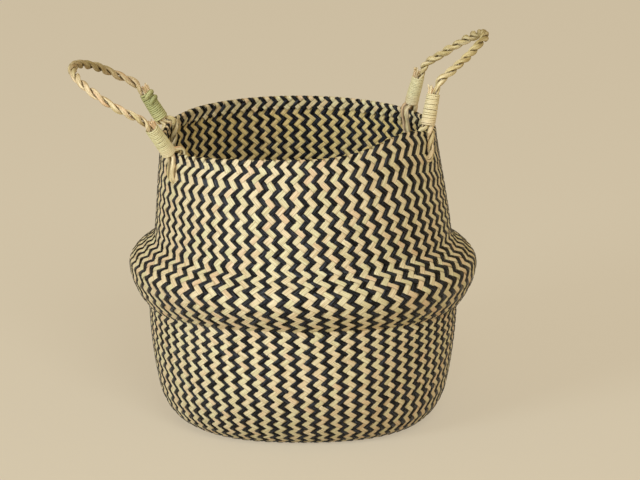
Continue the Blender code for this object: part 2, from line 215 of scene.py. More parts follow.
class ShaderSheet:
    """The node tree of one material."""

    def __init__(self, name: str) -> None:
        """Start an empty material.

        Args:
            name: the material's name.
        """
        self.material = bpy.data.materials.new(name)
        self.material.use_nodes = True
        self.tree = self.material.node_tree
        self.tree.nodes.clear()

    def node(self, kind: str, settings: dict[str, Any], inputs: dict[Any, Any]) -> Outputs:
        """Add a node.

        Args:
            kind: the node's type.
            settings: its properties, set first, with a ramp's stops under "stops".
            inputs: values or wires by the socket's name or number.

        Returns:
            The node's outputs.
        """
        made = self.tree.nodes.new(kind)
        for key, value in settings.items():
            if key == "stops":
                self._stops(made.color_ramp, value)
            else:
                setattr(made, key, value)
        for key, value in inputs.items():
            socket = self._input(made, key)
            if isinstance(value, Wire):
                self.tree.links.new(value.socket, socket)
            else:
                socket.default_value = value
        return Outputs(self, made)

    @staticmethod
    def _stops(ramp: bpy.types.ColorRamp, stops: list[tuple[float, Any]]) -> None:
        """Set a ramp's stops.

        Args:
            ramp: the ramp.
            stops: places with their colours, in order.
        """
        while len(ramp.elements) < len(stops):
            ramp.elements.new(1.0)
        for element, (place, colour) in zip(ramp.elements, stops, strict=True):
            element.position = place
            element.color = (*colour, 1.0)

    @staticmethod
    def _input(made: bpy.types.Node, key: Any) -> bpy.types.NodeSocket:
        """Find an input of a node.

        Args:
            made: the node.
            key: the input's number, or its name among those in use.

        Returns:
            The input.
        """
        if isinstance(key, int):
            return made.inputs[key]
        return [socket for socket in made.inputs if socket.name == key and socket.enabled][0]

    def fact(self, name: str) -> Wire:
        """Return a number that the mesh holds under a name."""
        return self.node("ShaderNodeAttribute", {"attribute_name": name}, {})["Fac"]

    def vector(self, x: Any, y: Any, z: Any) -> Wire:
        """Return a vector of three values."""
        return self.node("ShaderNodeCombineXYZ", {}, {"X": x, "Y": y, "Z": z})["Vector"]

    def noise(self, where: Wire, detail: float, rough: float) -> Wire:
        """Return smooth noise from 0 to 1.

        Args:
            where: the place it is read at, with about one lump to a unit.
            detail: how many finer layers it has.
            rough: how strong those layers are.

        Returns:
            The noise.
        """
        inputs = {"Vector": where, "Scale": 1.0, "Detail": detail, "Roughness": rough}
        return self.node("ShaderNodeTexNoise", {"noise_dimensions": "3D"}, inputs)["Fac"]

    def stretch(self, value: Wire, low: float, high: float) -> Wire:
        """Return a value spread so that low becomes 0 and high becomes 1, kept between them."""
        inputs = {"Value": value, "From Min": low, "From Max": high}
        return self.node("ShaderNodeMapRange", {"clamp": True}, inputs)["Result"]

    def ramp(self, value: Wire, stops: list[tuple[float, Any]]) -> Wire:
        """Return a colour read from stops."""
        return self.node("ShaderNodeValToRGB", {"stops": stops}, {"Fac": value})["Color"]

    def mix(self, amount: Any, first: Any, second: Any) -> Wire:
        """Return a blend of two colours.

        Args:
            amount: the share of the second.
            first: a wire or a colour.
            second: a wire or a colour.

        Returns:
            The blended colour.
        """
        settings = {"data_type": "RGBA", "blend_type": "MIX"}
        first = first if isinstance(first, Wire) else (*first, 1.0)
        second = second if isinstance(second, Wire) else (*second, 1.0)
        inputs = {"Factor": amount, "A": first, "B": second}
        return self.node("ShaderNodeMix", settings, inputs)["Result"]

    def bump(self, height: Wire, depth: float) -> Wire:
        """Return the normal of a surface raised by a height from 0 to 1.

        Args:
            height: the height.
            depth: how far 1 stands out, in metres.

        Returns:
            The normal.
        """
        inputs = {"Strength": 1.0, "Distance": depth, "Height": height}
        return self.node("ShaderNodeBump", {}, inputs)["Normal"]

    def finish(self, inputs: dict[str, Any]) -> bpy.types.Material:
        """Close the sheet with a surface of these inputs.

        Args:
            inputs: values or wires of the surface shader.

        Returns:
            The material.
        """
        surface = self.node("ShaderNodeBsdfPrincipled", {}, inputs)["BSDF"]
        self.node("ShaderNodeOutputMaterial", {}, {"Surface": surface})
        return self.material


def srgb(red: float, green: float, blue: float) -> Colour:
    """Return a colour as light.

    Args:
        red: how red a screen shows it, 0 to 255.
        green: how green.
        blue: how blue.

    Returns:
        The three shares of light, 0 to 1.
    """
    values = []
    for part in (red, green, blue):
        share = part / 255.0
        values.append(share / 12.92 if share <= 0.04045 else ((share + 0.055) / 1.055) ** 2.4)
    return values[0], values[1], values[2]


@dataclass(frozen=True)
class SedgeFinish:
    """A strip or strand of dried sedge with its long fibres.

    Its tone is partly its own and partly in slow patches along it. Its second colour comes on
    the inner side of a strip and on a rope's darker olive stretches. The streaks are darker fibres
    where the fine noise is low; where it is high come paler fibres, which on black sedge are a
    painted highlight. Its edge colour is painted shade. A lot sets each strip's noise apart.
    """

    name: str
    tones: tuple[tuple[float, Colour], ...]
    second: Colour
    streak: Colour
    streak_amount: float
    # Painted shade colour at strip edges, in rope grooves and between a whipping's turns
    edge: Colour
    edge_shade_amount: float
    rough_low: float
    rough_high: float
    # Paler fibres; on black sedge a painted bluish highlight
    pale_fibre_and_sheen: Colour
    pale_fibre_and_sheen_amount: float = 0.5
    streak_range: tuple[float, float] = (0.56, 0.34)
    pale_fibre_and_sheen_range: tuple[float, float] = (0.52, 0.70)
    second_amount: float = 0.8
    second_least: float = 0.45
    edge_shade_start: float = 0.80
    own_share: float = 0.7
    patch_share: float = 0.5
    tone_offset: float = 0.1
    patches: float = 0.35
    patch_length: float = 0.055
    patch_layers: tuple[float, float] = (2.0, 0.5)
    patch_lot: float = 37.0
    fibres: float = 5.0
    fibre_length: float = 0.035
    fibre_layers: tuple[float, float] = (3.0, 0.62)
    fibre_lot: float = 61.0
    fibre_depth: float = 0.00012
    shine: float = 0.4

    def material(self) -> bpy.types.Material:
        """Return the material.

        Returns:
            A material that reads the facts from the mesh.
        """
        sheet = ShaderSheet(self.name)
        along, across, strip, toned = (sheet.fact(name) for name in FACTS)
        fine = sheet.vector(across * self.fibres, along / self.fibre_length, strip * self.fibre_lot)
        fibre = sheet.noise(fine, *self.fibre_layers)
        slow = sheet.vector(across * self.patches, along / self.patch_length, strip * self.patch_lot)
        patch = sheet.noise(slow, *self.patch_layers)
        place = strip * self.own_share + patch * self.patch_share - self.tone_offset
        tone = sheet.ramp(place, list(self.tones))
        tone = sheet.mix(toned * (patch + self.second_least) * self.second_amount, tone, self.second)
        dark = sheet.stretch(fibre, *self.streak_range)
        colour = sheet.mix(dark * self.streak_amount, tone, self.streak)
        # Paler fibres where the fine noise is high, on black sedge a painted highlight
        pale = sheet.stretch(fibre, *self.pale_fibre_and_sheen_range)
        colour = sheet.mix(pale * self.pale_fibre_and_sheen_amount, colour, self.pale_fibre_and_sheen)
        # Painted shade: darker towards the ends of across, beside each strip and in rope grooves
        rim = sheet.stretch(abs(across), self.edge_shade_start, 1.0)
        colour = sheet.mix(rim * self.edge_shade_amount, colour, self.edge)
        rough = self.rough_low + (self.rough_high - self.rough_low) * fibre
        return sheet.finish({
            "Base Color": colour,
            "Roughness": rough,
            "Specular IOR Level": self.shine,
            "Normal": sheet.bump(fibre, self.fibre_depth),
        })


NATURAL_SEDGE = SedgeFinish(
    name="natural_sedge",
    tones=(
        (0.0, srgb(206, 200, 148)),
        (0.25, srgb(224, 214, 168)),
        (0.5, srgb(230, 214, 172)),
        (0.75, srgb(228, 204, 162)),
        (1.0, srgb(226, 190, 152)),
    ),
    second=srgb(236, 206, 118),
    streak=srgb(176, 138, 88),
    streak_amount=0.8,
    edge=srgb(104, 74, 38),
    edge_shade_amount=0.8,
    rough_low=0.42,
    rough_high=0.62,
    pale_fibre_and_sheen=srgb(250, 236, 208),
    edge_shade_start=0.82,
    fibres=9.0,
    fibre_length=0.025,
    fibre_depth=0.00022,
)
BLACK_SEDGE = SedgeFinish(
    name="black_sedge",
    tones=(
        (0.0, srgb(9, 7, 5)),
        (0.5, srgb(16, 14, 11)),
        (1.0, srgb(44, 44, 47)),
    ),
    second=srgb(14, 12, 10),
    streak=srgb(8, 7, 6),
    streak_amount=0.8,
    edge=srgb(8, 7, 6),
    edge_shade_amount=0.6,
    rough_low=0.12,
    rough_high=0.40,
    # Painted bluish highlight on the black fibres
    pale_fibre_and_sheen=srgb(112, 116, 128),
    fibres=6.0,
    fibre_length=0.012,
    fibre_depth=0.00055,
    shine=0.15,
)
ROPE_SEDGE = SedgeFinish(
    name="rope_sedge",
    tones=(
        (0.0, srgb(172, 150, 92)),
        (0.3, srgb(214, 194, 138)),
        (0.55, srgb(240, 220, 174)),
        (0.8, srgb(236, 204, 162)),
        (1.0, srgb(222, 172, 124)),
    ),
    second=srgb(140, 122, 68),
    streak=srgb(158, 122, 68),
    streak_amount=0.5,
    edge=srgb(96, 70, 36),
    edge_shade_amount=0.75,
    rough_low=0.5,
    rough_high=0.7,
    pale_fibre_and_sheen=srgb(250, 234, 198),
    pale_fibre_and_sheen_amount=0.3,
    second_amount=1.0,
    edge_shade_start=0.74,
    fibres=4.5,
    fibre_length=0.03,
    fibre_depth=0.0003,
)
PALE_WHIPPING = SedgeFinish(
    name="pale_whipping",
    tones=(
        (0.0, srgb(216, 206, 158)),
        (0.5, srgb(226, 214, 168)),
        (1.0, srgb(230, 210, 168)),
    ),
    second=srgb(232, 208, 168),
    streak=srgb(182, 166, 108),
    streak_amount=0.5,
    edge=srgb(128, 112, 62),
    edge_shade_amount=0.35,
    rough_low=0.42,
    rough_high=0.6,
    pale_fibre_and_sheen=srgb(238, 226, 176),
    pale_fibre_and_sheen_amount=0.3,
    edge_shade_start=0.78,
)
GREEN_WHIPPING = SedgeFinish(
    name="green_whipping",
    tones=(
        (0.0, srgb(160, 160, 104)),
        (0.5, srgb(176, 174, 116)),
        (1.0, srgb(190, 184, 128)),
    ),
    second=srgb(206, 196, 138),
    streak=srgb(132, 130, 74),
    streak_amount=0.5,
    edge=srgb(84, 80, 40),
    edge_shade_amount=0.6,
    rough_low=0.42,
    rough_high=0.6,
    pale_fibre_and_sheen=srgb(238, 226, 176),
    pale_fibre_and_sheen_amount=0.3,
    edge_shade_start=0.78,
)


# Mesh making


@dataclass
class Band:
    """One closed section swept along a run of rings, with its two ends closed.

    Rings are places by ring and side. Along is by ring, across by side or by ring and side. Strip,
    which sets the tone, and toned, the share of the finish's second colour, are by ring, by side
    or the same all over.
    """

    rings: np.ndarray
    along: np.ndarray
    across: np.ndarray
    strip: np.ndarray | float
    toned: np.ndarray | float = 0.0

    def facts(self) -> dict[str, np.ndarray]:
        """Spread the numbers that the finish reads over the points.

        Returns:
            One of each for every point, by name.
        """
        shape = self.rings.shape[:2]
        values = zip(FACTS, (self.along[:, None], self.across, self.strip, self.toned), strict=True)
        return {name: np.broadcast_to(value, shape).reshape(-1) for name, value in values}


class MeshMaker:
    """Joins bands into one mesh with the facts that its finish reads.

    Its unwrapped picture is in rows. A band takes a few of them, one stretch of it in each.
    """

    def __init__(self, name: str, rows_per_band: int, sharp_angle: float) -> None:
        """Start a mesh.

        Args:
            name: the piece's name.
            rows_per_band: how many rows of the unwrapped picture a band is cut into.
            sharp_angle: the least bend between two faces that shows as an edge.
        """
        self.name = name
        self.rows_per_band = rows_per_band
        self.sharp_angle = sharp_angle
        self.bands: list[Band] = []

    def add(self, *bands: Band) -> None:
        """Add bands."""
        self.bands.extend(bands)

    def build(self, material: bpy.types.Material) -> bpy.types.Object:
        """Make the object.

        Args:
            material: its finish.

        Returns:
            The object, in the scene.
        """
        mesh = bpy.data.meshes.new(self.name)
        self._shape(mesh)
        for name in FACTS:
            values = np.concatenate([band.facts()[name] for band in self.bands])
            layer = mesh.attributes.new(name, "FLOAT", "POINT")
            layer.data.foreach_set("value", values.astype(np.float32))
        places = np.concatenate([self._unwrapped(number) for number in range(len(self.bands))])
        unwrapped = mesh.uv_layers.new(name=UNWRAPPED)
        unwrapped.uv.foreach_set("vector", places.astype(np.float32).ravel())
        mesh.update(calc_edges=True)
        mesh.validate()
        mesh.shade_smooth()
        mesh.set_sharp_from_angle(angle=self.sharp_angle)
        mesh.materials.append(material)
        made = bpy.data.objects.new(self.name, mesh)
        bpy.context.scene.collection.objects.link(made)
        return made

    def _shape(self, mesh: bpy.types.Mesh) -> None:
        """Give a mesh the points of the bands, with quads between the rings and a face on each end.

        Args:
            mesh: the mesh, empty so far.
        """
        corners, sizes = [], []
        first = 0
        for band in self.bands:
            count, sides = band.rings.shape[:2]
            index = np.arange(count * sides).reshape(count, sides) + first
            following = np.roll(index, -1, axis=1)
            quads = np.stack([index[:-1], following[:-1], following[1:], index[1:]], axis=-1)
            corners += [quads.reshape(-1), index[0][::-1], index[-1]]
            sizes += [4] * (quads.size // 4) + [sides, sides]
            first += count * sides
        totals = np.array(sizes)
        mesh.vertices.add(first)
        points = np.concatenate([band.rings.reshape(-1, 3) for band in self.bands])
        mesh.vertices.foreach_set("co", points.astype(np.float32).ravel())
        mesh.loops.add(int(totals.sum()))
        mesh.loops.foreach_set("vertex_index", np.concatenate(corners).astype(np.int32))
        mesh.polygons.add(len(totals))
        mesh.polygons.foreach_set("loop_start", (np.cumsum(totals) - totals).astype(np.int32))
        mesh.polygons.foreach_set("loop_total", totals.astype(np.int32))

    def _unwrapped(self, number: int) -> np.ndarray:
        """Find where a band's corners lie in the unwrapped picture.

        Args:
            number: the band's place among the others.

        Returns:
            Two numbers for each corner, those of the quads before those of the ends.
        """
        count, sides = self.bands[number].rings.shape[:2]
        run = math.ceil((count - 1) / self.rows_per_band)
        ring = np.arange(count - 1)
        row = number * self.rows_per_band + ring // run
        left = (ring % run) / run
        right = left + 1.0 / run
        side = np.arange(sides)
        low = ROW_MARGIN + (1 - 2 * ROW_MARGIN) * side / sides
        high = ROW_MARGIN + (1 - 2 * ROW_MARGIN) * (side + 1) / sides
        shape = (count - 1, sides, 4)
        u = np.broadcast_to(np.stack([left, left, right, right], axis=-1)[:, None, :], shape)
        v = row[:, None, None] + np.stack([low, high, high, low], axis=-1)[None, :, :]
        v = v / (len(self.bands) * self.rows_per_band)
        quads = np.stack([u * (1 - 2 * END_MARGIN) + END_MARGIN, v], axis=-1).reshape(-1, 2)
        ends = np.full((2 * sides, 2), (number + 0.5) / len(self.bands))
        return np.concatenate([quads, ends])


def unit(vectors: np.ndarray) -> np.ndarray:
    """Return vectors scaled to a length of 1."""
    lengths = np.linalg.norm(vectors, axis=-1, keepdims=True)
    return vectors / np.maximum(lengths, 1e-12)


def eased(share: np.ndarray) -> np.ndarray:
    """Return shares kept between 0 and 1 and eased at both ends."""
    share = np.clip(share, 0.0, 1.0)
    return share * share * (3.0 - 2.0 * share)


def smooth_line(points: list[np.ndarray], spacing: float, fineness: int = 12) -> np.ndarray:
    """Return points set evenly along a smooth curve through given ones.

    Args:
        points: the points that the curve goes through.
        spacing: how far apart the new ones are.
        fineness: how many steps the curve is worked out in between two given points.

    Returns:
        The points.
    """
    knots = np.array(points)
    knots = np.concatenate([[2 * knots[0] - knots[1]], knots, [2 * knots[-1] - knots[-2]]])
    share = np.linspace(0.0, 1.0, fineness, endpoint=False)[:, None]
    fine = []
    for before, start, end, after in zip(knots, knots[1:], knots[2:], knots[3:], strict=False):
        slope = (end - before) * share
        bow = (2 * before - 5 * start + 4 * end - after) * share**2
        turn = (3 * start - before - 3 * end + after) * share**3
        fine.append((2 * start + slope + bow + turn) / 2)
    line = np.concatenate([*fine, knots[-2][None]])
    runs = run_lengths(line)
    even = np.linspace(0.0, runs[-1], round(runs[-1] / spacing) + 1)
    return np.stack([np.interp(even, runs, line[:, axis]) for axis in range(3)], axis=-1)


def run_lengths(line: np.ndarray) -> np.ndarray:
    """Return how far along a line each of its points lies."""
    return np.concatenate([[0.0], np.cumsum(np.linalg.norm(np.diff(line, axis=0), axis=1))])


def carried_frames(line: np.ndarray, first: np.ndarray) -> tuple[np.ndarray, np.ndarray, np.ndarray]:
    """Carry a way beside a line along it without a twist.

    Args:
        line: the points of the line.
        first: the way beside its first point.

    Returns:
        The ways forward, beside the line and square to both, at each point.
    """
    forward = unit(np.gradient(line, axis=0))
    sides = []
    side = first
    for way in forward:
        side = unit(side - way * (side @ way))
        sides.append(side)
    beside = np.array(sides)
    return forward, beside, np.cross(forward, beside)


def waver(
    places: np.ndarray, random: np.random.Generator, slowest: float, quickest: float,
) -> np.ndarray:
    """Return an uneven wave of about -1 to 1.

    Args:
        places: where it is read.
        random: the source of its unevenness.
        slowest: the least of its rates of turning.
        quickest: the greatest of them.

    Returns:
        The wave.
    """
    wave = np.zeros_like(places)
    for _ in range(3):
        wave += np.sin(places * random.uniform(slowest, quickest) + random.uniform(0.0, math.tau)) / 2
    return wave


# The woven body


@dataclass
class BasketForm:
    """The outline of the woven body and the uneven shape that hand work gives it."""

    wall: float = 0.0026
    base_radius: float = 0.111
    corner: tuple[float, float] = (0.1505, 0.040)
    crease: tuple[float, float] = (0.1605, 0.122)
    belly: tuple[float, float] = (0.1806, 0.166)
    neck_foot: tuple[float, float] = (0.1545, 0.196)
    rim: tuple[float, float] = (0.1417, 0.310)
    base_pull: float = 0.021
    corner_pull: float = 0.024
    wall_pull: float = 0.026
    crease_pull: float = 0.030
    fold_pull: float = 0.011
    belly_pull: float = 0.014
    shoulder_pull: float = 0.013
    neck_foot_pull: float = 0.020
    rim_pull: float = 0.040
    corner_lean: float = math.radians(12.0)
    crease_lean: float = math.radians(2.0)
    fold_lean: float = math.radians(52.0)
    shoulder_lean: float = math.radians(-38.0)
    neck_lean: float = math.radians(-4.5)
    rim_lean: float = math.radians(-7.5)
    rim_lift: float = 0.0155
    rim_lift_angle: float = math.radians(-40.0)
    rim_lift_spread: float = math.radians(15.0)
    rim_dip: float = 0.0120
    rim_dip_angle: float = math.radians(-158.0)
    rim_dip_spread: float = math.radians(26.0)
    rim_shift: float = -0.0047
    crease_lift: float = 0.012
    crease_lift_angle: float = math.radians(-90.0)
    crease_lift_spread: float = math.radians(45.0)
    crease_lift_reach: float = 0.022
    foot_flattening: float = 0.10
    foot_flattening_height: float = 0.065
    foot_flattening_power: int = 4
    lip_drop: float = 0.0024
    lip_radius: float = 0.001225
    hem_depth: float = 0.0125
    rim_thickness: float = 0.00455
    eye_depth: float = 0.029
    floor_steps: int = 30
    outline_steps: int = 40
    lip_steps: int = 12
    hem_steps: int = 6
    runs: np.ndarray = field(init=False)
    places: np.ndarray = field(init=False)
    ways_out: np.ndarray = field(init=False)
    lip_start: float = field(init=False)

    def __post_init__(self) -> None:
        """Work out the middle line of the fabric, from the centre of the bottom to the hem."""
        outer = self._outer_outline()
        runs = run_lengths(outer)
        forward = unit(np.gradient(outer, runs, axis=0))
        out = np.stack([forward[:, 1], -forward[:, 0]], axis=-1)
        middle = outer - out * self.wall / 2
        middle[0, 0] = 0.0
        keep = runs < runs[-1] - self.lip_drop
        runs, middle, out = runs[keep], middle[keep], out[keep]
        self.lip_start = float(runs[-1])
        up = np.array([-out[-1][1], out[-1][0]])
        side = out[-1]
        centre = middle[-1] - side * self.lip_radius
        turns = np.linspace(0.0, math.pi, self.lip_steps)[1:]
        arc_out = side * np.cos(turns)[:, None] + up * np.sin(turns)[:, None]
        arc = centre + arc_out * self.lip_radius
        arc_runs = self.lip_start + turns * self.lip_radius
        falls = np.linspace(0.0, self.hem_depth, self.hem_steps)[1:]
        hem = arc[-1] - up * falls[:, None]
        hem_out = np.repeat(-side[None, :], len(falls), axis=0)
        self.runs = np.concatenate([runs, arc_runs, arc_runs[-1] + falls])
        self.places = np.concatenate([middle, arc, hem])
        self.ways_out = np.concatenate([out, arc_out, hem_out])

    @staticmethod
    def _lean(length: float, angle: float) -> np.ndarray:
        """Return a step up the wall that leans outward by an angle."""
        return np.array([length * math.sin(angle), length * math.cos(angle)])

    def _curve(self, start: Any, pull: Any, back: Any, end: Any) -> np.ndarray:
        """Find one curved stretch of the outline.

        Args:
            start: the radius and height it leaves from.
            pull: how far it is pulled along as it leaves.
            back: how far it is pulled back from its end.
            end: the radius and height it ends at.

        Returns:
            Its points without the first.
        """
        start, pull, back, end = (np.array(part) for part in (start, pull, back, end))
        knots = [Vector((*knot, 0.0)) for knot in (start, start + pull, end - back, end)]
        points = interpolate_bezier(*knots, self.outline_steps)
        return np.array([(point.x, point.y) for point in points[1:]])

    def _outer_outline(self) -> np.ndarray:
        """Find the outer outline.

        Returns:
            Radius and height, from the centre of the bottom up.
        """
        flat = np.linspace(0.0, self.base_radius, self.floor_steps)
        corner = self._lean(self.corner_pull, self.corner_lean)
        wall = self._lean(self.wall_pull, self.corner_lean)
        crease = self._lean(self.crease_pull, self.crease_lean)
        fold = self._lean(self.fold_pull, self.fold_lean)
        belly = self._lean(self.belly_pull, 0.0)
        shoulder = self._lean(self.shoulder_pull, self.shoulder_lean)
        neck = self._lean(self.neck_foot_pull, self.neck_lean)
        rim = self._lean(self.rim_pull, self.rim_lean)
        return np.concatenate([
            np.stack([flat, np.zeros_like(flat)], axis=-1),
            self._curve((self.base_radius, 0.0), (self.base_pull, 0.0), corner, self.corner),
            self._curve(self.corner, wall, crease, self.crease),
            self._curve(self.crease, fold, belly, self.belly),
            self._curve(self.belly, belly, shoulder, self.neck_foot),
            self._curve(self.neck_foot, neck, rim, self.rim),
        ])

    @staticmethod
    def _swelling(angles: np.ndarray, height: float, centre: float, spread: float) -> np.ndarray:
        """Return heights that are full at the centre's angle and fade over a spread beside it."""
        away = (angles - centre + math.pi) % math.tau - math.pi
        return height * np.exp(-((away / spread) ** 2) / 2)

    def hand_woven(self, points: np.ndarray) -> np.ndarray:
        """Move points of the even basket to where the hand-woven one has them.

        Args:
            points: places in a last axis of three.

        Returns:
            The moved places.
        """
        x, y, z = points[..., 0], points[..., 1], points[..., 2]
        share = eased((z - self.neck_foot[1]) / (self.rim[1] - self.neck_foot[1]))
        low = 1.0 - eased(z / self.foot_flattening_height)
        angles = np.arctan2(y, x)
        flattening = self.foot_flattening * low * np.sin(angles) ** self.foot_flattening_power
        rise = self._swelling(angles, self.rim_lift, self.rim_lift_angle, self.rim_lift_spread)
        rise = rise - self._swelling(angles, self.rim_dip, self.rim_dip_angle, self.rim_dip_spread)
        crease = self._swelling(
            angles, self.crease_lift, self.crease_lift_angle, self.crease_lift_spread,
        )
        crease = crease * np.exp(-(((z - self.crease[1]) / self.crease_lift_reach) ** 2) / 2)
        moved = [x + self.rim_shift * share, y * (1.0 - flattening), z + rise * share + crease]
        return np.stack(moved, axis=-1)

    def place(self, angles: np.ndarray, runs: np.ndarray, offsets: np.ndarray | float) -> np.ndarray:
        """Return places on the fabric.

        Args:
            angles: the way round the basket.
            runs: the way along the outline, from the centre of the bottom.
            offsets: the way out of the fabric's middle.

        Returns:
            The places.
        """
        radius = np.interp(runs, self.runs, self.places[:, 0])
        height = np.interp(runs, self.runs, self.places[:, 1])
        radius = radius + np.interp(runs, self.runs, self.ways_out[:, 0]) * offsets
        height = height + np.interp(runs, self.runs, self.ways_out[:, 1]) * offsets
        points = np.stack([radius * np.cos(angles), radius * np.sin(angles), height], axis=-1)
        return self.hand_woven(points)

    def rim_point(self, angle: float, outward: float, upward: float) -> np.ndarray:
        """Find a place near the rim's top edge.

        Args:
            angle: the way round the basket.
            outward: the step out of the wall.
            upward: the step up it.

        Returns:
            The place.
        """
        up = self._lean(1.0, self.rim_lean)
        out = np.array([up[1], -up[0]])
        place = np.array(self.rim) + out * outward + up * upward
        point = np.array([place[0] * math.cos(angle), place[0] * math.sin(angle), place[1]])
        return self.hand_woven(point)

    def rim_frame(self, angle: float) -> tuple[np.ndarray, np.ndarray, np.ndarray]:
        """Find where a handle's leg turns on the rim.

        Args:
            angle: the way round the basket.

        Returns:
            The middle of the rim's edge, and the ways out of and up the wall there.
        """
        half = self.rim_thickness / 2
        pivot = self.rim_point(angle, -half, -half)
        ahead = self.rim_point(angle + self.rim_thickness / self.rim[0], -half, -half)
        below = self.rim_point(angle, -half, -self.eye_depth)
        along = unit(ahead - pivot)
        out = unit(np.cross(along, pivot - below))
        return pivot, out, np.cross(out, along)


@dataclass(frozen=True)
class HandDrift:
    """How far the hand-plaited rows stray from an even lattice, as slow waves.

    Each row of numbers is for one Chebyshev wave up the wall. The numbers in it are for waves
    round the basket, counted from the front: even, cosine and sine, then both at twice the rate.
    Both tables are the output of a separate program, which fitted them to where the photograph
    shows the zigzags. Strips are spread a little apart within the front's reach, and crowd
    together at the back, where the waves give way to one even rise and fall.
    """

    turns: tuple[tuple[float, ...], ...] = (
        (-0.0657, 0.0019, 0.0140, 0.0015, -0.0048),
        (-0.0865, -0.0042, -0.0275, -0.0049, -0.0068),
        (0.0128, 0.0072, -0.0234, 0.0085, 0.0017),
        (0.0174, 0.0050, -0.0041, 0.0070, -0.0069),
        (0.0080, -0.0025, -0.0050, -0.0030, 0.0005),
        (0.0023, -0.0022, 0.0014, -0.0025, -0.0082),
    )
    rises: tuple[tuple[float, ...], ...] = (
        (-0.00526, -0.00186, 0.00358, -0.00295, -0.00021),
        (-0.00167, 0.00106, -0.00228, 0.00153, -0.00042),
        (0.00288, 0.00082, -0.00288, 0.00111, -0.00004),
        (0.00119, -0.00070, -0.00052, -0.00116, -0.00015),
        (0.00028, -0.00023, -0.00134, -0.00007, 0.00008),
        (-0.00027, -0.00065, 0.00222, -0.00085, -0.00078),
    )
    low_run: float = 0.14
    high_run: float = 0.45
    fade_start: float = 0.05
    fade_length: float = 0.06
    side_start: float = math.radians(85.0)
    side_length: float = math.radians(45.0)
    front_stretch: float = 0.0625
    front_reach: float = math.radians(80.0)
    crowding_power: float = 1.3
    back_start: float = 0.34
    back_length: float = 0.117
    back_rise: float = 0.012
    back_fall: float = 0.0156
    back_limit: float = 1.14

    def shifted(self, angles: np.ndarray, runs: np.ndarray) -> tuple[np.ndarray, np.ndarray]:
        """Move places of the even lattice to where the hand-plaited one has them.

        Args:
            angles: the way round the basket.
            runs: the way along the outline, from the centre of the bottom.

        Returns:
            The moved angles and runs.
        """
        around = (angles + math.pi * 1.5) % math.tau - math.pi
        fade = eased((runs - self.fade_start) / self.fade_length)
        angles = angles + (self._spread(around) - around) * fade
        around = angles + math.pi / 2
        waves = np.stack([
            np.ones_like(around), np.cos(around) - 1.0, np.sin(around),
            np.cos(2.0 * around) - 1.0, np.sin(2.0 * around),
        ])
        share = np.clip((runs - self.low_run) / (self.high_run - self.low_run), 0.0, 1.0)
        climbs = np.polynomial.chebyshev.chebvander(share * 2.0 - 1.0, len(self.turns) - 1)
        turn = np.einsum("...k,kj,j...->...", climbs, np.array(self.turns), waves) * fade
        rise = np.einsum("...k,kj,j...->...", climbs, np.array(self.rises), waves) * fade
        from_front = np.abs((around + math.pi) % math.tau - math.pi)
        side = eased((from_front - self.side_start) / self.side_length)
        climbed = eased((runs - self.low_run) / (self.back_start - self.low_run))
        pressed = np.clip((runs - self.back_start) / self.back_length, 0.0, self.back_limit)
        at_back = self.back_rise * climbed - self.back_fall * pressed
        return angles + turn, runs + rise * (1.0 - side) + at_back * side

    def _spread(self, around: np.ndarray) -> np.ndarray:
        """Spread the strips apart at the front and crowd them at the back.

        Args:
            around: even angles from the front, on the right above 0 and on the left below it.

        Returns:
            The moved angles.
        """
        away = np.abs(around)
        behind = np.clip((away - self.front_reach) / (math.pi - self.front_reach), 0.0, 1.0)
        crowding = math.pi * self.front_stretch * behind**self.crowding_power
        return np.sign(around) * (away * (1.0 + self.front_stretch) - crowding)


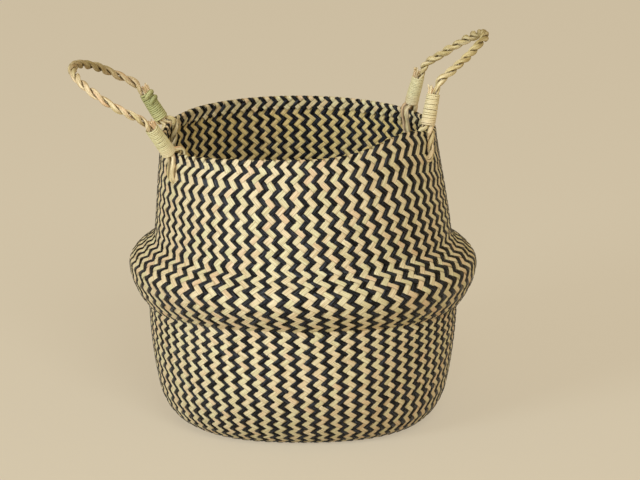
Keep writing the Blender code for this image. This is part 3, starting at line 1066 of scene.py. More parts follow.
@dataclass
class Weave:
    """The plaited strips: a twill that turns over every four rows and makes upright zigzags."""

    form: BasketForm
    drift: HandDrift = HandDrift()
    strips_per_side: int = 34
    first_turnover: int = 1
    edge_thickness: float = 0.2
    lift: float = 0.00052
    crown: float = 0.12
    fill: float = 0.965
    growth_range: tuple[float, float] = (0.2, 0.9)
    sideways_wander: float = 0.07
    sideways_rates: tuple[float, float] = (0.08, 0.5)
    sideways_range: tuple[float, float] = (0.7, 1.6)
    width_wander: float = 0.05
    width_rates: tuple[float, float] = (0.1, 0.3)
    tilt: float = 0.00010
    rocking: float = 0.00008
    rocking_rate: float = 0.7
    transition: float = 2.4
    lip_lift: float = 0.5
    lip_approach: float = 0.003
    overrun: float = 0.03
    end_margin: float = 0.0003
    raggedness: float = 0.0025
    hem_tone: float = 0.35
    hem_tone_range: tuple[float, float] = (0.002, 0.006)
    nudge: float = 0.05
    smoothing: int = 5
    row_samples: int = 640
    places_per_crossing: tuple[float, ...] = (-0.3, 0.0, 0.3)
    rim_rows: float = 5.0
    rim_step: float = 0.2
    rows_in_picture: int = 4
    sharp_angle: float = math.radians(24.0)
    row_periods: tuple[tuple[float, float], ...] = (
        (0.111, 0.0131), (0.140, 0.0123), (0.180, 0.0123), (0.200, 0.0120), (0.220, 0.0104),
        (0.240, 0.0090), (0.254, 0.0100), (0.272, 0.0165), (0.295, 0.0180), (0.320, 0.0158),
        (0.350, 0.0134), (0.372, 0.0134), (0.400, 0.0143), (0.425, 0.0152), (0.450, 0.0138),
        (0.480, 0.0138),
    )
    rows: np.ndarray = field(init=False)
    row_runs: np.ndarray = field(init=False)

    def __post_init__(self) -> None:
        """Work out how far along the outline each row of crossings lies."""
        runs = np.linspace(self.form.base_radius, self.form.runs[-1] + self.overrun, self.row_samples)
        places, periods = np.array(self.row_periods).T
        density = TWILL / np.interp(runs, places, periods)
        climbed = np.concatenate([[0.0], np.cumsum((density[1:] + density[:-1]) / 2 * np.diff(runs))])
        self.rows = np.concatenate([[0.0], self.strips_per_side + climbed])
        self.row_runs = np.concatenate([[0.0], runs])

    def crossing_place(
        self, axis: int, line: np.ndarray, step: np.ndarray,
    ) -> tuple[np.ndarray, np.ndarray]:
        """Find a point of a strip on the plaited square and the wall that grows from it.

        Args:
            axis: 0 or 1, the way the strip crosses the bottom.
            line: the strip's distance from the middle of the bottom, in strips.
            step: the distance along the strip from its own middle, in strips.

        Returns:
            The angle round the basket and the row, counted from the middle of the bottom.
        """
        side = self.strips_per_side
        reach = side - np.abs(line)
        inside = np.clip(step, -reach, reach)
        climbed = np.maximum(np.abs(step) - reach, 0.0)
        east = line if axis == 0 else inside
        north = inside if axis == 0 else line
        ring = np.maximum(np.abs(east) + np.abs(north), 1e-9)
        quarter = np.select(
            [(east > 0) & (north >= 0), (east <= 0) & (north > 0), (east < 0) & (north <= 0)],
            [np.abs(north) / ring, 1.0 + np.abs(east) / ring, 2.0 + np.abs(north) / ring],
            3.0 + np.abs(east) / ring,
        )
        way = np.sign(line) * np.sign(step) * (1.0 if axis == 0 else -1.0)
        around = quarter * side + way * climbed / 2
        return around * math.tau / (4 * side), ring + climbed

    def plaited(self, axis: int, line: np.ndarray, step: np.ndarray) -> tuple[np.ndarray, np.ndarray]:
        """Return the angle round the basket and the run up its outline of a point of a strip."""
        angles, rows = self.crossing_place(axis, line, step)
        return self.drift.shifted(angles, np.interp(rows, self.rows, self.row_runs))

    def surface(self, axis: int, line: np.ndarray, step: np.ndarray) -> np.ndarray:
        """Return the place in the fabric's middle of a point of a strip."""
        return self.form.place(*self.plaited(axis, line, step), 0.0)

    def _heights(self, axis: int, line: float, step: np.ndarray) -> np.ndarray:
        """Return how far a strip stands above or below the fabric's middle, from -1 to 1.

        Args:
            axis: 0 or 1, the way the strip crosses the bottom.
            line: the strip's distance from the middle of the bottom.
            step: distances along the strip.

        Returns:
            The heights.
        """
        low = np.floor(step - 0.5) + 0.5
        share = step - low
        lower, upper = self._on_top(axis, line, low), self._on_top(axis, line, low + 1.0)
        blend = eased((share - 0.5) * self.transition + 0.5)
        crown = np.where(lower == upper, self.crown * np.sin(share * math.pi), 0.0)
        return lower + (upper - lower) * blend + crown * lower

    def _on_top(self, axis: int, line: float, step: np.ndarray) -> np.ndarray:
        """Find which side a strip lies on at its crossings.

        Args:
            axis: 0 or 1, the way the strip crosses the bottom.
            line: the strip's distance from the middle of the bottom.
            step: the crossings' distances along the strip.

        Returns:
            1 where the strip lies on the outside and -1 where inside.
        """
        side = self.strips_per_side
        reach = side - abs(line)
        rows = np.abs(line) + np.minimum(np.abs(step), reach) + np.maximum(np.abs(step) - reach, 0.0)
        phase = np.round(rows - side - self.first_turnover).astype(int) % TWILL
        rising_right = np.sign(line) * np.sign(step) * (1.0 if axis == 0 else -1.0) > 0
        return np.where((phase < TWILL / 2) == rising_right, 1.0, -1.0)

    def strip(self, axis: int, line: float, dye: Dye, random: np.random.Generator) -> Band:
        """Return one strip, from rim to rim by way of the bottom.

        Args:
            axis: 0 or 1, the way the strip crosses the bottom.
            line: its distance from the middle of the bottom.
            dye: its colour, which sets its width.
            random: the source of its unevenness.

        Returns:
            The strip.
        """
        steps = self._sampled(line)
        wander = self.sideways_wander * waver(steps, random, *self.sideways_rates)
        lines = line + wander * random.uniform(*self.sideways_range)
        angles, runs = self.plaited(axis, lines, steps)
        cuts = self.form.runs[-1] - self.end_margin - random.uniform(0.0, self.raggedness, 2)
        kept = runs < np.where(steps < 0.0, cuts[0], cuts[1])
        steps, lines, angles, runs = steps[kept], lines[kept], angles[kept], runs[kept]
        middle = self.form.place(angles, runs, 0.0)
        outward = self.form.place(angles, runs, self.lift) - middle
        sideways, normal, width = self._lie(axis, lines, steps, outward)
        width *= 1.0 + self.width_wander * self._sway(steps, random.uniform(*self.width_rates), random)
        width = self.fill * width[:, None] * self._shares(dye, angles)
        rock = self.tilt * random.uniform(-1.0, 1.0)
        rock = rock + self.rocking * self._sway(steps, self.rocking_rate, random)
        thick = np.where(STRIP_ACROSS == 0.0, 1.0, self.edge_thickness) * dye.thickness / 2
        thick = np.where(STRIP_INSIDE == 0.0, thick, -thick)
        at_lip = eased((runs - self.form.lip_start) / self.lip_approach + 1.0)
        lift = self._heights(axis, line, steps) * self.lift * (1.0 + self.lip_lift * at_lip)
        centre = middle + normal * lift[:, None]
        rings = (
            centre[:, None, :]
            + sideways[:, None, :] * (STRIP_ACROSS * width)[..., None]
            + normal[:, None, :] * (thick + STRIP_ACROSS * rock[:, None])[..., None]
        )
        tone_start, tone_end = self.hem_tone_range
        turned_in = eased((runs - self.form.lip_start - tone_start) / (tone_end - tone_start))
        toned = np.maximum(STRIP_INSIDE, self.hem_tone * turned_in[:, None])
        return Band(rings, run_lengths(middle), STRIP_ACROSS, float(random.uniform(0.0, 1.0)), toned)

    def _lie(
        self, axis: int, lines: np.ndarray, steps: np.ndarray, outward: np.ndarray,
    ) -> tuple[np.ndarray, np.ndarray, np.ndarray]:
        """Find how a strip lies in the fabric.

        Args:
            axis: 0 or 1, the way the strip crosses the bottom.
            lines: its distance from the middle of the bottom at each step.
            steps: distances along it.
            outward: a way out of the fabric at each step.

        Returns:
            The ways across the strip and out of it, and the width that it has room for.
        """
        near = self.nudge
        ahead, behind = (self.surface(axis, lines, steps + step) for step in (near, -near))
        forward = unit(ahead - behind)
        beside = self.surface(axis, lines + near, steps) - self.surface(axis, lines - near, steps)
        beside = beside / (2 * near)
        normal = unit(np.cross(beside, forward))
        normal *= np.sign(np.sum(outward * normal, axis=-1, keepdims=True))
        sideways = unit(np.cross(normal, forward))
        room = np.pad(np.abs(np.sum(beside * sideways, axis=-1)), self.smoothing // 2, mode="edge")
        window = np.ones(self.smoothing) / self.smoothing
        return sideways, normal, np.convolve(room, window, mode="valid")

    def _shares(self, dye: Dye, angles: np.ndarray) -> np.ndarray:
        """Find a strip's width as a share of its room.

        Args:
            dye: its colour.
            angles: the way round the basket at each step.

        Returns:
            The shares by step and by point of the section.
        """
        low, high = self.growth_range
        outsides = dye.outside + dye.growth * eased((np.cos(angles) - low) / (high - low))
        return np.where(STRIP_INSIDE == 0.0, outsides[:, None], dye.inside)

    @staticmethod
    def _sway(steps: np.ndarray, rate: float, random: np.random.Generator) -> np.ndarray:
        """Return a wave of one rate along a strip, which starts anywhere."""
        return np.sin(steps * rate + random.uniform(0.0, math.tau))

    def _sampled(self, line: float) -> np.ndarray:
        """Choose where along a strip it is shaped, finer round the rim.

        Args:
            line: the strip's distance from the middle of the bottom.

        Returns:
            Distances along the strip from its own middle.
        """
        lip = float(np.interp(self.form.lip_start, self.row_runs, self.rows)) - abs(line)
        crossings = np.arange(0.5, lip - self.rim_rows)
        half = (crossings[:, None] + np.array(self.places_per_crossing)).ravel()
        step = self.rim_step
        fine = np.arange(half[-1] + step, float(self.rows[-1]) - abs(line), step)
        half = np.concatenate([half, fine])
        return np.concatenate([-half[::-1], half])

    def pieces(self, random: np.random.Generator) -> list[tuple[MeshMaker, Dye]]:
        """Gather the strips by dye and by the way they cross the bottom.

        Args:
            random: the source of their unevenness.

        Returns:
            The mesh and dye of each piece.
        """
        found = []
        for axis, ways in ((0, ("left", "right")), (1, ("front", "back"))):
            for sign, way in zip((-1.0, 1.0), ways, strict=True):
                makers = {
                    dye: MeshMaker(
                        f"{dye.name.lower()}_strips_{way}", self.rows_in_picture, self.sharp_angle,
                    )
                    for dye in Dye
                }
                for number in range(self.strips_per_side):
                    dye = Dye.BLACK if number % 2 else Dye.NATURAL
                    makers[dye].add(self.strip(axis, sign * (number + 0.5), dye, random))
                found += [(maker, dye) for dye, maker in makers.items()]
        return found

    def build(self, random: np.random.Generator) -> None:
        """Make the woven body over its solids.

        Args:
            random: the source of its unevenness.
        """
        finishes = {Dye.BLACK: BLACK_SEDGE.material(), Dye.NATURAL: NATURAL_SEDGE.material()}
        for maker, dye in self.pieces(random):
            piece = maker.build(finishes[dye])
            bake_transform(piece)
            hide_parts("base_panel", "lower_wall", "belly_fold", "neck_wall", "rim_hem")
            LOG.info("%s: %d strips, %d faces", maker.name, len(maker.bands), len(piece.data.polygons))


# The handles


@dataclass(frozen=True)
class Leg:
    """Where a handle's leg stands on the rim and which way it goes."""

    name: str
    pivot: np.ndarray
    out: np.ndarray
    up: np.ndarray
    foot: np.ndarray
    direction: np.ndarray
    inward: np.ndarray

    def at(self, height: float, inward: float = 0.0) -> np.ndarray:
        """Return a place at a height up the leg and a step towards its inner side."""
        return self.foot + self.direction * height + self.inward * inward

    def on_rim(self, outward: float, upward: float) -> np.ndarray:
        """Return a place by steps out of and up the wall from the middle of the rim's edge."""
        return self.pivot + self.out * outward + self.up * upward


@dataclass
class TwistedRope:
    """Plies of sedge laid round each other, right-handed.

    A ply is a bundle of strands with grooves between them, painted darker as shade, as is the
    side of the ply that lies on the other ply. It is a little flat where it lies on the other ply,
    swells and thins along its run, and turns about itself. The wandering of its turn, its reach
    and its size each have a slowest and a quickest rate.
    """

    ply_radius: float
    helix_radius: float
    lay: float
    plies: int = 2
    strands: int = 3
    sides: int = 18
    groove: float = 0.30
    strand_power: float = 0.6
    lumpiness: float = 0.12
    lump_rates: tuple[float, float] = (120.0, 520.0)
    own_twist: float = 1.3
    reach_wander: float = 0.10
    reach_rates: tuple[float, float] = (60.0, 260.0)
    tone_range: tuple[float, float] = (0.2, 0.8)
    tone_spread: float = 0.35
    unevenness: float = 0.5
    turn_rates: tuple[float, float] = (20.0, 90.0)
    flatness: float = 0.12
    opening: float = 0.0
    groove_shade_level: float = 0.45
    hidden_shade_range: tuple[float, float] = (1.7, 2.3)
    open_edge: float = 0.7
    shade_across: float = 0.98

    def bands(
        self, line: np.ndarray, first: np.ndarray, random: np.random.Generator,
        thickness: np.ndarray | float = 1.0, toned: np.ndarray | float = 0.0,
    ) -> list[Band]:
        """Lay the plies along a line.

        Args:
            line: evenly spaced points of the rope's middle.
            first: the way from it to the first ply.
            random: the source of its unevenness.
            thickness: shares of the full thickness, for each point.
            toned: shares of the finish's second colour, for each point.

        Returns:
            The plies.
        """
        runs = run_lengths(line)
        _, beside, square = carried_frames(line, first)
        turn = math.tau * runs / self.lay + self.unevenness * waver(runs, random, *self.turn_rates)
        made = []
        for ply in range(self.plies):
            angle = turn + math.tau * ply / self.plies
            radial = beside * np.cos(angle)[:, None] + square * np.sin(angle)[:, None]
            made.append(self._ply(line, runs, radial, random, thickness, toned))
        return made

    def _ply(
        self, line: np.ndarray, runs: np.ndarray, radial: np.ndarray, random: np.random.Generator,
        thickness: np.ndarray | float, toned: np.ndarray | float,
    ) -> Band:
        """Lay one ply.

        Args:
            line: points of the rope's middle.
            runs: how far along the rope each is.
            radial: the way from each to the ply.
            random: the source of its unevenness.
            thickness: shares of the full thickness.
            toned: shares of the finish's second colour.

        Returns:
            The ply.
        """
        opened = 1.0 + self.opening * np.sin(math.tau * runs / runs[-1]) ** 2
        reach = self.helix_radius * thickness * opened
        reach = reach * (1.0 + self.reach_wander * waver(runs, random, *self.reach_rates))
        middle = line + radial * reach[:, None]
        forward = unit(np.gradient(middle, axis=0))
        outward = unit(radial - forward * np.sum(radial * forward, axis=-1, keepdims=True))
        aside = np.cross(forward, outward)
        size = self.ply_radius * thickness
        size = size * (1.0 + self.lumpiness * waver(runs, random, *self.lump_rates))
        around = np.linspace(-math.pi, math.pi, self.sides, endpoint=False)
        own = self.own_twist * math.tau * runs / self.lay + random.uniform(0.0, math.tau)
        strand = self.strands / 2 * (around[None, :] + own[:, None]) / math.pi
        lobes = np.abs(np.cos(math.pi * strand)) ** self.strand_power
        radius = size[:, None] * (1.0 - self.groove + self.groove * lobes)
        rings = (
            middle[:, None, :]
            + outward[:, None, :] * (radius * np.cos(around))[..., None] * (1.0 - self.flatness)
            + aside[:, None, :] * (radius * np.sin(around))[..., None] * (1.0 + self.flatness)
        )
        tones = random.uniform(-self.tone_spread, self.tone_spread, self.strands)
        tone = random.uniform(*self.tone_range) + tones[np.round(strand).astype(int) % self.strands]
        # Painted shade: the grooves between strands and the side against the other ply take an across
        # near 1
        low, high = self.hidden_shade_range
        hidden_shade = eased((np.abs(around) - low) / (high - low))
        dark = np.maximum(np.where(lobes < self.groove_shade_level, 1.0, 0.0), hidden_shade)
        across = self.open_edge * np.abs(around) / math.pi * (1.0 - dark) + self.shade_across * dark
        toned = np.broadcast_to(toned, runs.shape)
        return Band(rings, runs, np.where(around < 0.0, -1.0, 1.0) * across, tone, toned[:, None])


@dataclass(frozen=True)
class Knot:
    """A thicker end of the strip that is tied over the winding of a whipping."""

    start: float
    below_top: float
    sweep: float = math.radians(95.0)
    arch: float = 0.0030
    climb: float = 0.0020
    bulge: float = 0.30
    bulge_power: float = 0.7
    width: float = 0.0050
    thickness: float = 0.0028
    steps: int = 26


@dataclass
class Whipping:
    """A narrow strip wound round a leg and its cut rope end in one run."""

    start: float
    length: float
    turns: int
    finish: SedgeFinish
    half_deep: float = 0.0069
    half_wide: float = 0.0065
    thickness: float = 0.0009
    steps_per_turn: int = 22
    height_wander: float = 0.00025
    height_rates: tuple[float, float] = (2.0, 9.0)
    taper: float = 0.05
    size_wander: float = 0.018
    size_rates: tuple[float, float] = (1.0, 7.0)
    tucked_in: float = 0.10
    tucked_turns: float = 0.6
    toned_share: float = 0.5
    knots: tuple[Knot, ...] = ()

    def bands(self, leg: Leg, random: np.random.Generator) -> list[Band]:
        """Wind the strip round a leg.

        Args:
            leg: the leg.
            random: the source of its unevenness.

        Returns:
            The strip, and its knotted ends where it has them.
        """
        pitch = self.length / (self.turns + 1)
        turn = np.arange(self.turns * self.steps_per_turn + 1) / self.steps_per_turn
        height = self.start + pitch * (turn + 0.5)
        height = height + self.height_wander * waver(turn, random, *self.height_rates)
        swell = 1.0 + self.taper * np.cos(turn / self.turns * math.pi)
        swell = swell + self.size_wander * waver(turn, random, *self.size_rates)
        tuck = eased(turn / self.tucked_turns) * eased((self.turns - turn) / self.tucked_turns)
        swell = swell * (1.0 - self.tucked_in + self.tucked_in * tuck)
        made = [self._wound(leg, math.tau * turn, height, swell, pitch, self.thickness, random)]
        for knot in self.knots:
            share = np.linspace(0.0, 1.0, knot.steps)
            arch = np.sin(share * math.pi)
            height = self.start + self.length - knot.below_top + knot.arch * arch + knot.climb * share
            swell = 1.0 + knot.bulge * arch**knot.bulge_power
            turn = knot.start + knot.sweep * share
            made.append(self._wound(leg, turn, height, swell, knot.width, knot.thickness, random))
        return made

    def _wound(
        self, leg: Leg, turn: np.ndarray, height: np.ndarray, swell: np.ndarray,
        width: float, thickness: float, random: np.random.Generator,
    ) -> Band:
        """Make one run of strip round a leg.

        Args:
            leg: the leg.
            turn: the way round it at each point.
            height: the height up it.
            swell: shares of the winding's size.
            width: the strip's width.
            thickness: the strip's thickness.
            random: the source of its colour.

        Returns:
            The strip.
        """
        aside = np.cross(leg.direction, leg.inward)
        deep = leg.inward * (np.cos(turn) * self.half_deep * swell)[:, None]
        wide = aside * (np.sin(turn) * self.half_wide * swell)[:, None]
        middle = leg.foot + leg.direction * height[:, None] + deep + wide
        forward = unit(np.gradient(middle, axis=0))
        outward = leg.inward * np.cos(turn)[:, None] + aside * np.sin(turn)[:, None]
        outward = unit(outward - forward * np.sum(outward * forward, axis=-1, keepdims=True))
        beside = np.cross(forward, outward)
        across, thick = WOUND_SECTION
        rings = (
            middle[:, None, :]
            + beside[:, None, :] * (across * width / 2)[None, :, None]
            + outward[:, None, :] * (thick * thickness)[None, :, None]
        )
        low = 1.0 - eased((height - self.start) / (self.toned_share * self.length))
        return Band(rings, run_lengths(middle), across, float(random.uniform(0.0, 1.0)), low[:, None])


@dataclass
class CutEnd:
    """The rope's own end, cut off above the whipping so that its fibres spread.

    The fibres stand in a round bundle, each a step of turn beyond the last and further out.
    """

    fibres: int = 12
    turn_step: float = 2.4
    turn_wander: float = 0.3
    offset: float = 0.0033
    radius: float = 0.0030
    root_share: float = 0.7
    sunk: float = 0.010
    stub: tuple[float, float] = (0.0040, 0.0080)
    flare: tuple[float, float] = (0.0, 0.3)
    least_flare: float = 0.4
    lean: tuple[float, float] = (-0.1, 0.25)
    fibre_width: float = 0.0022
    width_range: tuple[float, float] = (0.7, 1.2)
    taper: float = 0.1
    fibre_thickness: float = 0.0012
    # How far across a fibre reaches, which sets how much painted edge shade its sides get
    edge: float = 0.8
    tone_range: tuple[float, float] = (0.4, 1.0)
    steps: int = 9

    def bands(self, leg: Leg, top: float, random: np.random.Generator) -> list[Band]:
        """Spread the fibres out of the top of a whipping.

        Args:
            leg: the leg.
            top: the height of the whipping's top.
            random: the source of their unevenness.

        Returns:
            The fibres.
        """
        aside = np.cross(leg.direction, leg.inward)
        share = np.linspace(0.0, 1.0, self.steps)
        made = []
        for number in range(self.fibres):
            turn = number * self.turn_step + random.uniform(-self.turn_wander, self.turn_wander)
            away = self.radius * math.sqrt((number + 0.5) / self.fibres)
            radial = leg.inward * math.cos(turn) + aside * math.sin(turn)
            root = leg.at(top - self.sunk, self.offset) + radial * away * self.root_share
            above = random.uniform(*self.stub)
            flare = self.least_flare + (1.0 - self.least_flare) * away / self.radius
            spread = random.uniform(*self.flare) * flare
            climb = share * (self.sunk + above)
            out = np.maximum(climb - self.sunk, 0.0) * spread + away * (1.0 - self.root_share) * share
            lean = leg.inward * random.uniform(*self.lean) + radial
            line = root + leg.direction * climb[:, None] + lean * out[:, None]
            flat = aside * math.cos(turn * 2) + leg.inward * math.sin(turn * 2)
            _, beside, square = carried_frames(line, flat)
            across, thick = FIBRE_SECTION
            width = self.fibre_width * random.uniform(*self.width_range) * (1.0 - self.taper * share)
            rings = (
                line[:, None, :]
                + beside[:, None, :] * (across[None, :] * width[:, None] / 2)[..., None]
                + square[:, None, :] * (thick * self.fibre_thickness)[None, :, None]
            )
            tone = float(random.uniform(*self.tone_range))
            made.append(Band(rings, run_lengths(line), across * self.edge, tone))
        return made


@dataclass
class Handle:
    """A loop of twisted rope, with an eye, a whipping and a cut end at each leg.

    Heights are measured up the leaning loop from its foot. The rope is pressed thin beside its
    cut end in the whippings, and swells to its full thickness above them. Olive stretches are
    places along it, 0 to 1, with how much of the finish's darker olive second colour each has; the
    rope is a little thicker there. Rows are those that each band takes in the unwrapped picture.
    """

    form: BasketForm
    body: Body
    front_angle: float
    back_angle: float
    leg_lean: float
    loop_lean: float
    height: float
    stand_off: float
    shift: float
    spread: float
    roundness: float
    whippings: tuple[Whipping, Whipping]
    olive_stretches: tuple[tuple[float, float], ...]
    eyes: tuple[TwistedRope, TwistedRope]
    rope: TwistedRope
    whipping_start: float = 0.008275
    whipping_end: float = 0.042275
    arch_foot: float = 0.043275
    bend_length: float = 0.012
    olive_swelling: float = 0.12
    eye_turn: float = math.radians(35.0)
    arch_crown: float = 2.2
    foot_steps: int = 9
    rope_steps: int = 26
    spacing: float = 0.0009
    rope_rows: int = 6
    winding_rows: int = 4
    fibre_rows: int = 1
    eye_rows: int = 2
    rope_swell: float = 0.012
    pressed: float = 0.0064 / 0.0095
    pressed_offset: float = 0.00255
    hole_depth: float = 0.0267
    eye_offset: float = 0.0050
    eye_toned: float = 0.1
    eye_grip: float = 0.0008
    rope_sharp_angle: float = math.radians(50.0)
    strip_sharp_angle: float = math.radians(60.0)
    front: np.ndarray = field(init=False)
    middle: np.ndarray = field(init=False)
    across: np.ndarray = field(init=False)
    half: float = field(init=False)
    out: np.ndarray = field(init=False)
    up: np.ndarray = field(init=False)
    foot: np.ndarray = field(init=False)

    def __post_init__(self) -> None:
        """Work out the hinge from where the legs stand on the rim."""
        self.front = self.form.rim_frame(self.front_angle)[0]
        back = self.form.rim_frame(self.back_angle)[0]
        self.middle = (self.front + back) / 2
        self.across = unit(back - self.front)
        self.half = float(np.linalg.norm(back - self.front)) / 2
        side = unit(np.cross(self.across, np.array([0.0, 0.0, 1.0])))
        self.out = side * np.sign(side @ self.middle)
        up = np.cross(self.out, self.across)
        self.up = up * np.sign(up[2])
        below = self.out * math.cos(self.leg_lean) - self.up * math.sin(self.leg_lean)
        self.foot = self.middle + below * self.stand_off

    def _lean_steps(self, height: float) -> tuple[float, float]:
        """Find how far out and up the loop reaches.

        Args:
            height: the height up the leaning loop.

        Returns:
            The steps out and up from its foot.
        """
        straight = min(height, self.arch_foot)
        outward, upward = straight * math.sin(self.leg_lean), straight * math.cos(self.leg_lean)
        bend = min(max(height - self.arch_foot, 0.0), self.bend_length)
        rate = (self.loop_lean - self.leg_lean) / self.bend_length
        turned = self.leg_lean + rate * bend
        outward += (math.cos(self.leg_lean) - math.cos(turned)) / rate
        upward += (math.sin(turned) - math.sin(self.leg_lean)) / rate
        rest = max(height - self.arch_foot - self.bend_length, 0.0)
        return outward + rest * math.sin(self.loop_lean), upward + rest * math.cos(self.loop_lean)

    def place(self, side: float, height: float) -> np.ndarray:
        """Find a point of the loop.

        Args:
            side: its share of the loop's width, -1 at the front to 1 at the back.
            height: its height up the loop.

        Returns:
            The point.
        """
        climbed = height / self.height
        outward, upward = self._lean_steps(height)
        sideways = self.half * (1.0 + self.spread * climbed) * side + self.shift * climbed
        return self.foot + self.across * sideways + self.out * outward + self.up * upward

    def leg(self, side: int) -> Leg:
        """Find one of the legs.

        Args:
            side: -1 for the front one and 1 for the back one.

        Returns:
            The leg.
        """
        foot = self.place(side, 0.0)
        direction = unit(self.place(side, self.whipping_end) - foot)
        inward = unit(np.cross(direction, self.across))
        pivot, out, up = self.form.rim_frame(self.front_angle if side < 0 else self.back_angle)
        name = f"{self.body.value.split('_')[0]}_{'front' if side < 0 else 'back'}"
        return Leg(name, pivot, out, up, foot, direction, inward * np.sign(inward[2]))

    def rope_line(self) -> tuple[np.ndarray, np.ndarray]:
        """Find the rope's middle line from the front leg to the back one.

        Returns:
            Its points and its share of the full thickness at each.
        """
        feet = []
        for side in (-1, 1):
            leg = self.leg(side)
            heights = np.linspace(self.whipping_start, self.arch_foot, self.foot_steps)
            feet.append([leg.at(height, -self.pressed_offset) for height in heights])
        points = list(feet[0])
        shares = [self.pressed] * len(points)
        arch = self.height - self.arch_foot
        for step in range(1, self.rope_steps):
            turn = math.pi * step / self.rope_steps
            cosine = math.cos(turn)
            side = -math.copysign(abs(cosine) ** (2 / self.roundness), cosine)
            climbed = arch * math.sin(turn) ** (2 / self.arch_crown)
            swell = min(climbed / self.rope_swell, 1.0)
            inward = self.leg(int(math.copysign(1, side))).inward
            offset = inward * (self.pressed_offset * (1.0 - swell))
            points.append(self.place(side, self.arch_foot + climbed) - offset)
            shares.append(self.pressed + (1.0 - self.pressed) * swell)
        points.extend(reversed(feet[1]))
        shares.extend([self.pressed] * len(feet[1]))
        line = smooth_line(points, self.spacing)
        knots = run_lengths(np.array(points))
        runs = run_lengths(line)
        return line, np.interp(runs / runs[-1], knots / knots[-1], shares)

    def eye_line(self, leg: Leg) -> np.ndarray:
        """Find the line of the strand that hangs a leg on the rim.

        It comes out of the whipping's foot, goes down outside the wall, in through the wall, up
        inside it and over the rim back into the whipping.

        Args:
            leg: the leg.

        Returns:
            The line's points.
        """
        aside, hole = self.eye_offset, -self.hole_depth
        start = self.whipping_start
        return smooth_line([
            leg.at(start + 0.0100, -0.0015),
            leg.at(start + 0.0040, -0.0025),
            leg.at(start - 0.0010, -0.0036),
            leg.on_rim(aside + 0.0008, -0.0020),
            leg.on_rim(aside, -0.0090),
            leg.on_rim(aside, hole + 0.0085),
            leg.on_rim(aside - 0.0008, hole + 0.0030),
            leg.on_rim(aside * 0.55, hole + 0.0004),
            leg.on_rim(0.0, hole),
            leg.on_rim(-aside * 0.55, hole + 0.0004),
            leg.on_rim(0.0008 - aside, hole + 0.0030),
            leg.on_rim(-aside, hole + 0.0085),
            leg.on_rim(-aside, -0.0100),
            leg.on_rim(-aside, -0.0020),
            leg.on_rim(-aside * 0.7, 0.0040),
            leg.at(start - 0.0016, 0.0026),
            leg.at(start + 0.0040, 0.0030),
            leg.at(start + 0.0100, 0.0020),
        ], self.spacing)

    def build(self, random: np.random.Generator) -> None:
        """Make the handle's pieces.

        Args:
            random: the source of their unevenness.
        """
        finish = ROPE_SEDGE.material()
        rope_angle, strip_angle = self.rope_sharp_angle, self.strip_sharp_angle
        line, thickness = self.rope_line()
        runs = run_lengths(line)
        places, shares = np.array(self.olive_stretches).T
        toned = np.interp(runs / runs[-1], places, shares)
        thickness = thickness * (1.0 + self.olive_swelling * toned)
        maker = MeshMaker(f"{self.body.value}_rope_plies", self.rope_rows, rope_angle)
        maker.add(*self.rope.bands(line, self.leg(-1).inward, random, thickness, toned))
        self._dress(maker, finish, f"{self.body.value}_rope")
        for side, whipping, eye in zip((-1, 1), self.whippings, self.eyes, strict=True):
            leg = self.leg(side)
            maker = MeshMaker(f"{leg.name}_wound_strip", self.winding_rows, strip_angle)
            maker.add(*whipping.bands(leg, random))
            self._dress(maker, whipping.finish.material(), f"{leg.name}_whipping")
            maker = MeshMaker(f"{leg.name}_cut_fibres", self.fibre_rows, rope_angle)
            maker.add(*CutEnd().bands(leg, whipping.start + whipping.length, random))
            self._dress(maker, finish, f"{leg.name}_rope_end")
            maker = MeshMaker(f"{leg.name}_eye_plies", self.eye_rows, rope_angle)
            first = np.cross(leg.out, leg.up) * math.cos(self.eye_turn)
            first = first + leg.out * math.sin(self.eye_turn)
            maker.add(*eye.bands(self.eye_line(leg), first, random, 1.0, self.eye_toned))
            self._hang(maker, finish, leg)

    def _dress(self, maker: MeshMaker, material: bpy.types.Material, node: str) -> None:
        """Make a piece that swings with the handle in place of a solid.

        Args:
            maker: its bands.
            material: its finish.
            node: the solid.
        """
        piece = maker.build(material)
        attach(piece, self.body.value)
        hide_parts(node)
        LOG.info("%s: %d faces", piece.name, len(piece.data.polygons))

    def _hang(self, maker: MeshMaker, material: bpy.types.Material, leg: Leg) -> None:
        """Make an eye in place of its solid, fixed where it is built.

        Args:
            maker: its bands.
            material: its finish.
            leg: its leg.
        """
        piece = maker.build(material)
        end = leg.pivot + leg.direction * (self.whipping_start - self.eye_grip)
        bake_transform(piece)
        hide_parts(f"{leg.name}_eye")
        LOG.info("%s: %d faces", piece.name, len(piece.data.polygons))


def twisted_eye() -> TwistedRope:
    """Return the rope of an eye that keeps its twist."""
    return TwistedRope(ply_radius=0.0022, helix_radius=0.0019, lay=0.026, sides=14)


def open_eye(helix_radius: float, opening: float) -> TwistedRope:
    """Return the rope of an eye whose twist has opened, so that its plies lie side by side.

    Args:
        helix_radius: how far its plies lie from its middle.
        opening: how much further apart they are half-way down each side of the eye.

    Returns:
        The rope.
    """
    return TwistedRope(
        ply_radius=0.0024,
        helix_radius=helix_radius,
        lay=0.6,
        sides=14,
        own_twist=6.0,
        unevenness=0.1,
        opening=opening,
    )


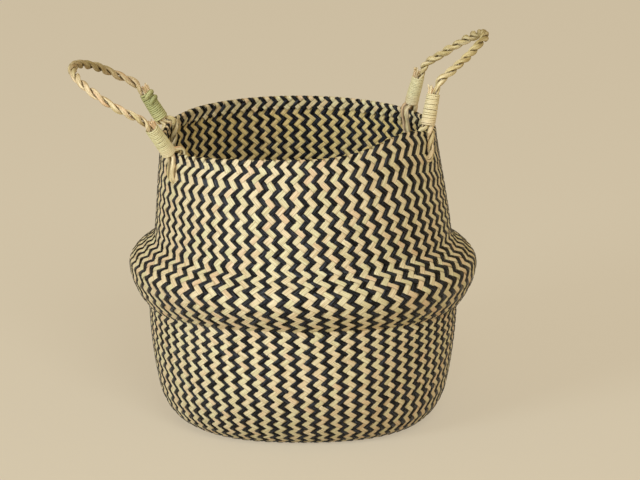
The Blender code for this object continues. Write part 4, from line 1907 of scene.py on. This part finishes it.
def left_handle(form: BasketForm) -> Handle:
    """Make the left handle, which leans well out and lies to the front.

    Args:
        form: the basket that it hangs on.

    Returns:
        The handle.
    """
    return Handle(
        form=form,
        body=Body.LEFT,
        front_angle=math.radians(-153.0),
        back_angle=math.radians(163.0),
        leg_lean=math.radians(31.0),
        loop_lean=math.radians(59.7),
        height=0.1354,
        stand_off=0.0053,
        shift=-0.023,
        spread=0.48,
        roundness=1.86,
        whippings=(
            Whipping(
                start=0.0050, length=0.0405, turns=18, finish=PALE_WHIPPING,
                half_deep=0.0072, half_wide=0.0068,
            ),
            Whipping(
                start=0.008275, length=0.034, turns=15, finish=GREEN_WHIPPING,
                knots=(Knot(math.radians(-95.0), 0.0125), Knot(math.radians(-103.0), 0.0053)),
            ),
        ),
        eyes=(open_eye(0.0023, 0.75), twisted_eye()),
        olive_stretches=(
            (0.0, 0.0), (0.40, 0.1), (0.50, 0.6), (0.58, 0.65), (0.72, 0.8), (0.80, 0.3), (1.0, 0.2),
        ),
        rope=TwistedRope(ply_radius=0.0024, helix_radius=0.0023, lay=0.031),
    )


def right_handle(form: BasketForm) -> Handle:
    """Make the right handle, which stands up and closes to a narrow tip.

    Args:
        form: the basket that it hangs on.

    Returns:
        The handle.
    """
    return Handle(
        form=form,
        body=Body.RIGHT,
        front_angle=math.radians(-22.0),
        back_angle=math.radians(34.5),
        leg_lean=math.radians(12.0),
        loop_lean=math.radians(52.8),
        height=0.1216,
        stand_off=0.001,
        shift=-0.010,
        spread=-0.41,
        roundness=2.5,
        whippings=(
            Whipping(start=0.008275, length=0.034, turns=18, finish=PALE_WHIPPING),
            Whipping(
                start=0.009, length=0.0333, turns=18, finish=PALE_WHIPPING, half_deep=0.0064,
            ),
        ),
        eyes=(twisted_eye(), open_eye(0.0021, 0.1)),
        olive_stretches=(
            (0.0, 0.0), (0.34, 0.15), (0.42, 0.6), (0.50, 0.7), (0.58, 0.6), (0.66, 0.2), (1.0, 0.1),
        ),
        rope=TwistedRope(
            ply_radius=0.0024, helix_radius=0.0023, lay=0.0245, lumpiness=0.16, unevenness=0.8,
        ),
    )


# The studio


@dataclass(frozen=True)
class Softbox:
    """A square lamp that faces the basket."""

    name: str
    place: tuple[float, float, float]
    size: float
    power: float
    colour: Colour
    aim: tuple[float, float, float] = (0.0, 0.0, 0.2)

    def hang(self) -> None:
        """Add the lamp to the scene."""
        data = bpy.data.lights.new(self.name, "AREA")
        data.shape = "SQUARE"
        data.size = self.size
        data.energy = self.power
        data.color = self.colour
        lamp = bpy.data.objects.new(self.name, data)
        lamp.location = self.place
        facing = (Vector(self.aim) - Vector(self.place)).to_track_quat("-Z", "Y")
        lamp.rotation_euler = facing.to_euler()
        bpy.context.scene.collection.objects.link(lamp)


@dataclass
class Studio:
    """The floor, the light and the camera."""

    lamps: tuple[Softbox, ...] = (
        Softbox("left_softbox", (-3.5, -3.8, 2.0), 1.6, 158.0, (0.72, 0.86, 1.0)),
        Softbox("left_window", (-4.2, -2.5, 0.8), 1.0, 46.0, (0.72, 0.86, 1.0)),
        Softbox("front_softbox", (1.2, -5.2, 3.7), 2.6, 212.0, (0.84, 0.92, 1.0)),
    )
    sky_colour: Colour = (1.0, 0.79, 0.40)
    sky_strength: float = 0.43
    floor_colour: Colour = srgb(208, 195, 171)
    floor_size: float = 30.0
    floor_evenness: float = 0.60
    floor_glow: float = 1.19
    distance: float = 5.0
    elevation: float = math.radians(15.0)
    aim_height: float = 0.188
    sensor: float = 36.0
    lens: float = 270.45
    shift: float = 17.0 / 640.0
    clip_end: float = 60.0

    def build(self) -> None:
        """Make the floor, the sky, the lamps and the camera."""
        self._floor()
        self._sky()
        for lamp in self.lamps:
            lamp.hang()
        self._camera()
        bpy.context.scene.view_settings.view_transform = "Standard"

    def _floor(self) -> None:
        """Make the plain floor, which looks even but keeps a faint shadow."""
        half = self.floor_size / 2
        mesh = bpy.data.meshes.new("floor")
        corners = [(-half, -half, 0.0), (half, -half, 0.0), (half, half, 0.0), (-half, half, 0.0)]
        mesh.from_pydata(corners, [], [(0, 1, 2, 3)])
        sheet = ShaderSheet("floor")
        lit = sheet.node("ShaderNodeBsdfDiffuse", {}, {"Color": (*self.floor_colour, 1.0)})["BSDF"]
        glow = {"Color": (*self.floor_colour, 1.0), "Strength": self.floor_glow}
        even = sheet.node("ShaderNodeEmission", {}, glow)["Emission"]
        path = sheet.node("ShaderNodeLightPath", {}, {})
        seen = path["Is Camera Ray"] + path["Is Glossy Ray"] + path["Is Transmission Ray"]
        share = seen * self.floor_evenness
        mixed = sheet.node("ShaderNodeMixShader", {}, {"Fac": share, 1: lit, 2: even})["Shader"]
        sheet.node("ShaderNodeOutputMaterial", {}, {"Surface": mixed})
        mesh.materials.append(sheet.material)
        floor = bpy.data.objects.new("floor", mesh)
        bpy.context.scene.collection.objects.link(floor)

    def _sky(self) -> None:
        """Light the scene evenly from all round, as warm as the plain surface round the basket."""
        world = bpy.data.worlds.new("studio")
        bpy.context.scene.world = world
        world.use_nodes = True
        background = world.node_tree.nodes["Background"]
        background.inputs["Color"].default_value = (*self.sky_colour, 1.0)
        background.inputs["Strength"].default_value = self.sky_strength

    def _camera(self) -> None:
        """Place the camera at the photograph's angle."""
        data = bpy.data.cameras.new("camera")
        data.sensor_width = self.sensor
        data.lens = self.lens
        data.shift_x = self.shift
        data.clip_end = self.clip_end
        camera = bpy.data.objects.new("camera", data)
        back, up = math.cos(self.elevation), math.sin(self.elevation)
        camera.location = (0.0, -self.distance * back, self.aim_height + self.distance * up)
        camera.rotation_euler = (math.pi / 2 - self.elevation, 0.0, 0.0)
        bpy.context.scene.collection.objects.link(camera)
        bpy.context.scene.camera = camera


def main() -> None:
    """Build the scene."""
    logging.basicConfig(level=logging.INFO, format="%(message)s")
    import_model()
    Studio().build()
    form = BasketForm()
    random = np.random.default_rng(SEED)
    Weave(form).build(random)
    left_handle(form).build(random)
    right_handle(form).build(random)


if __name__ == "__main__":
    main()
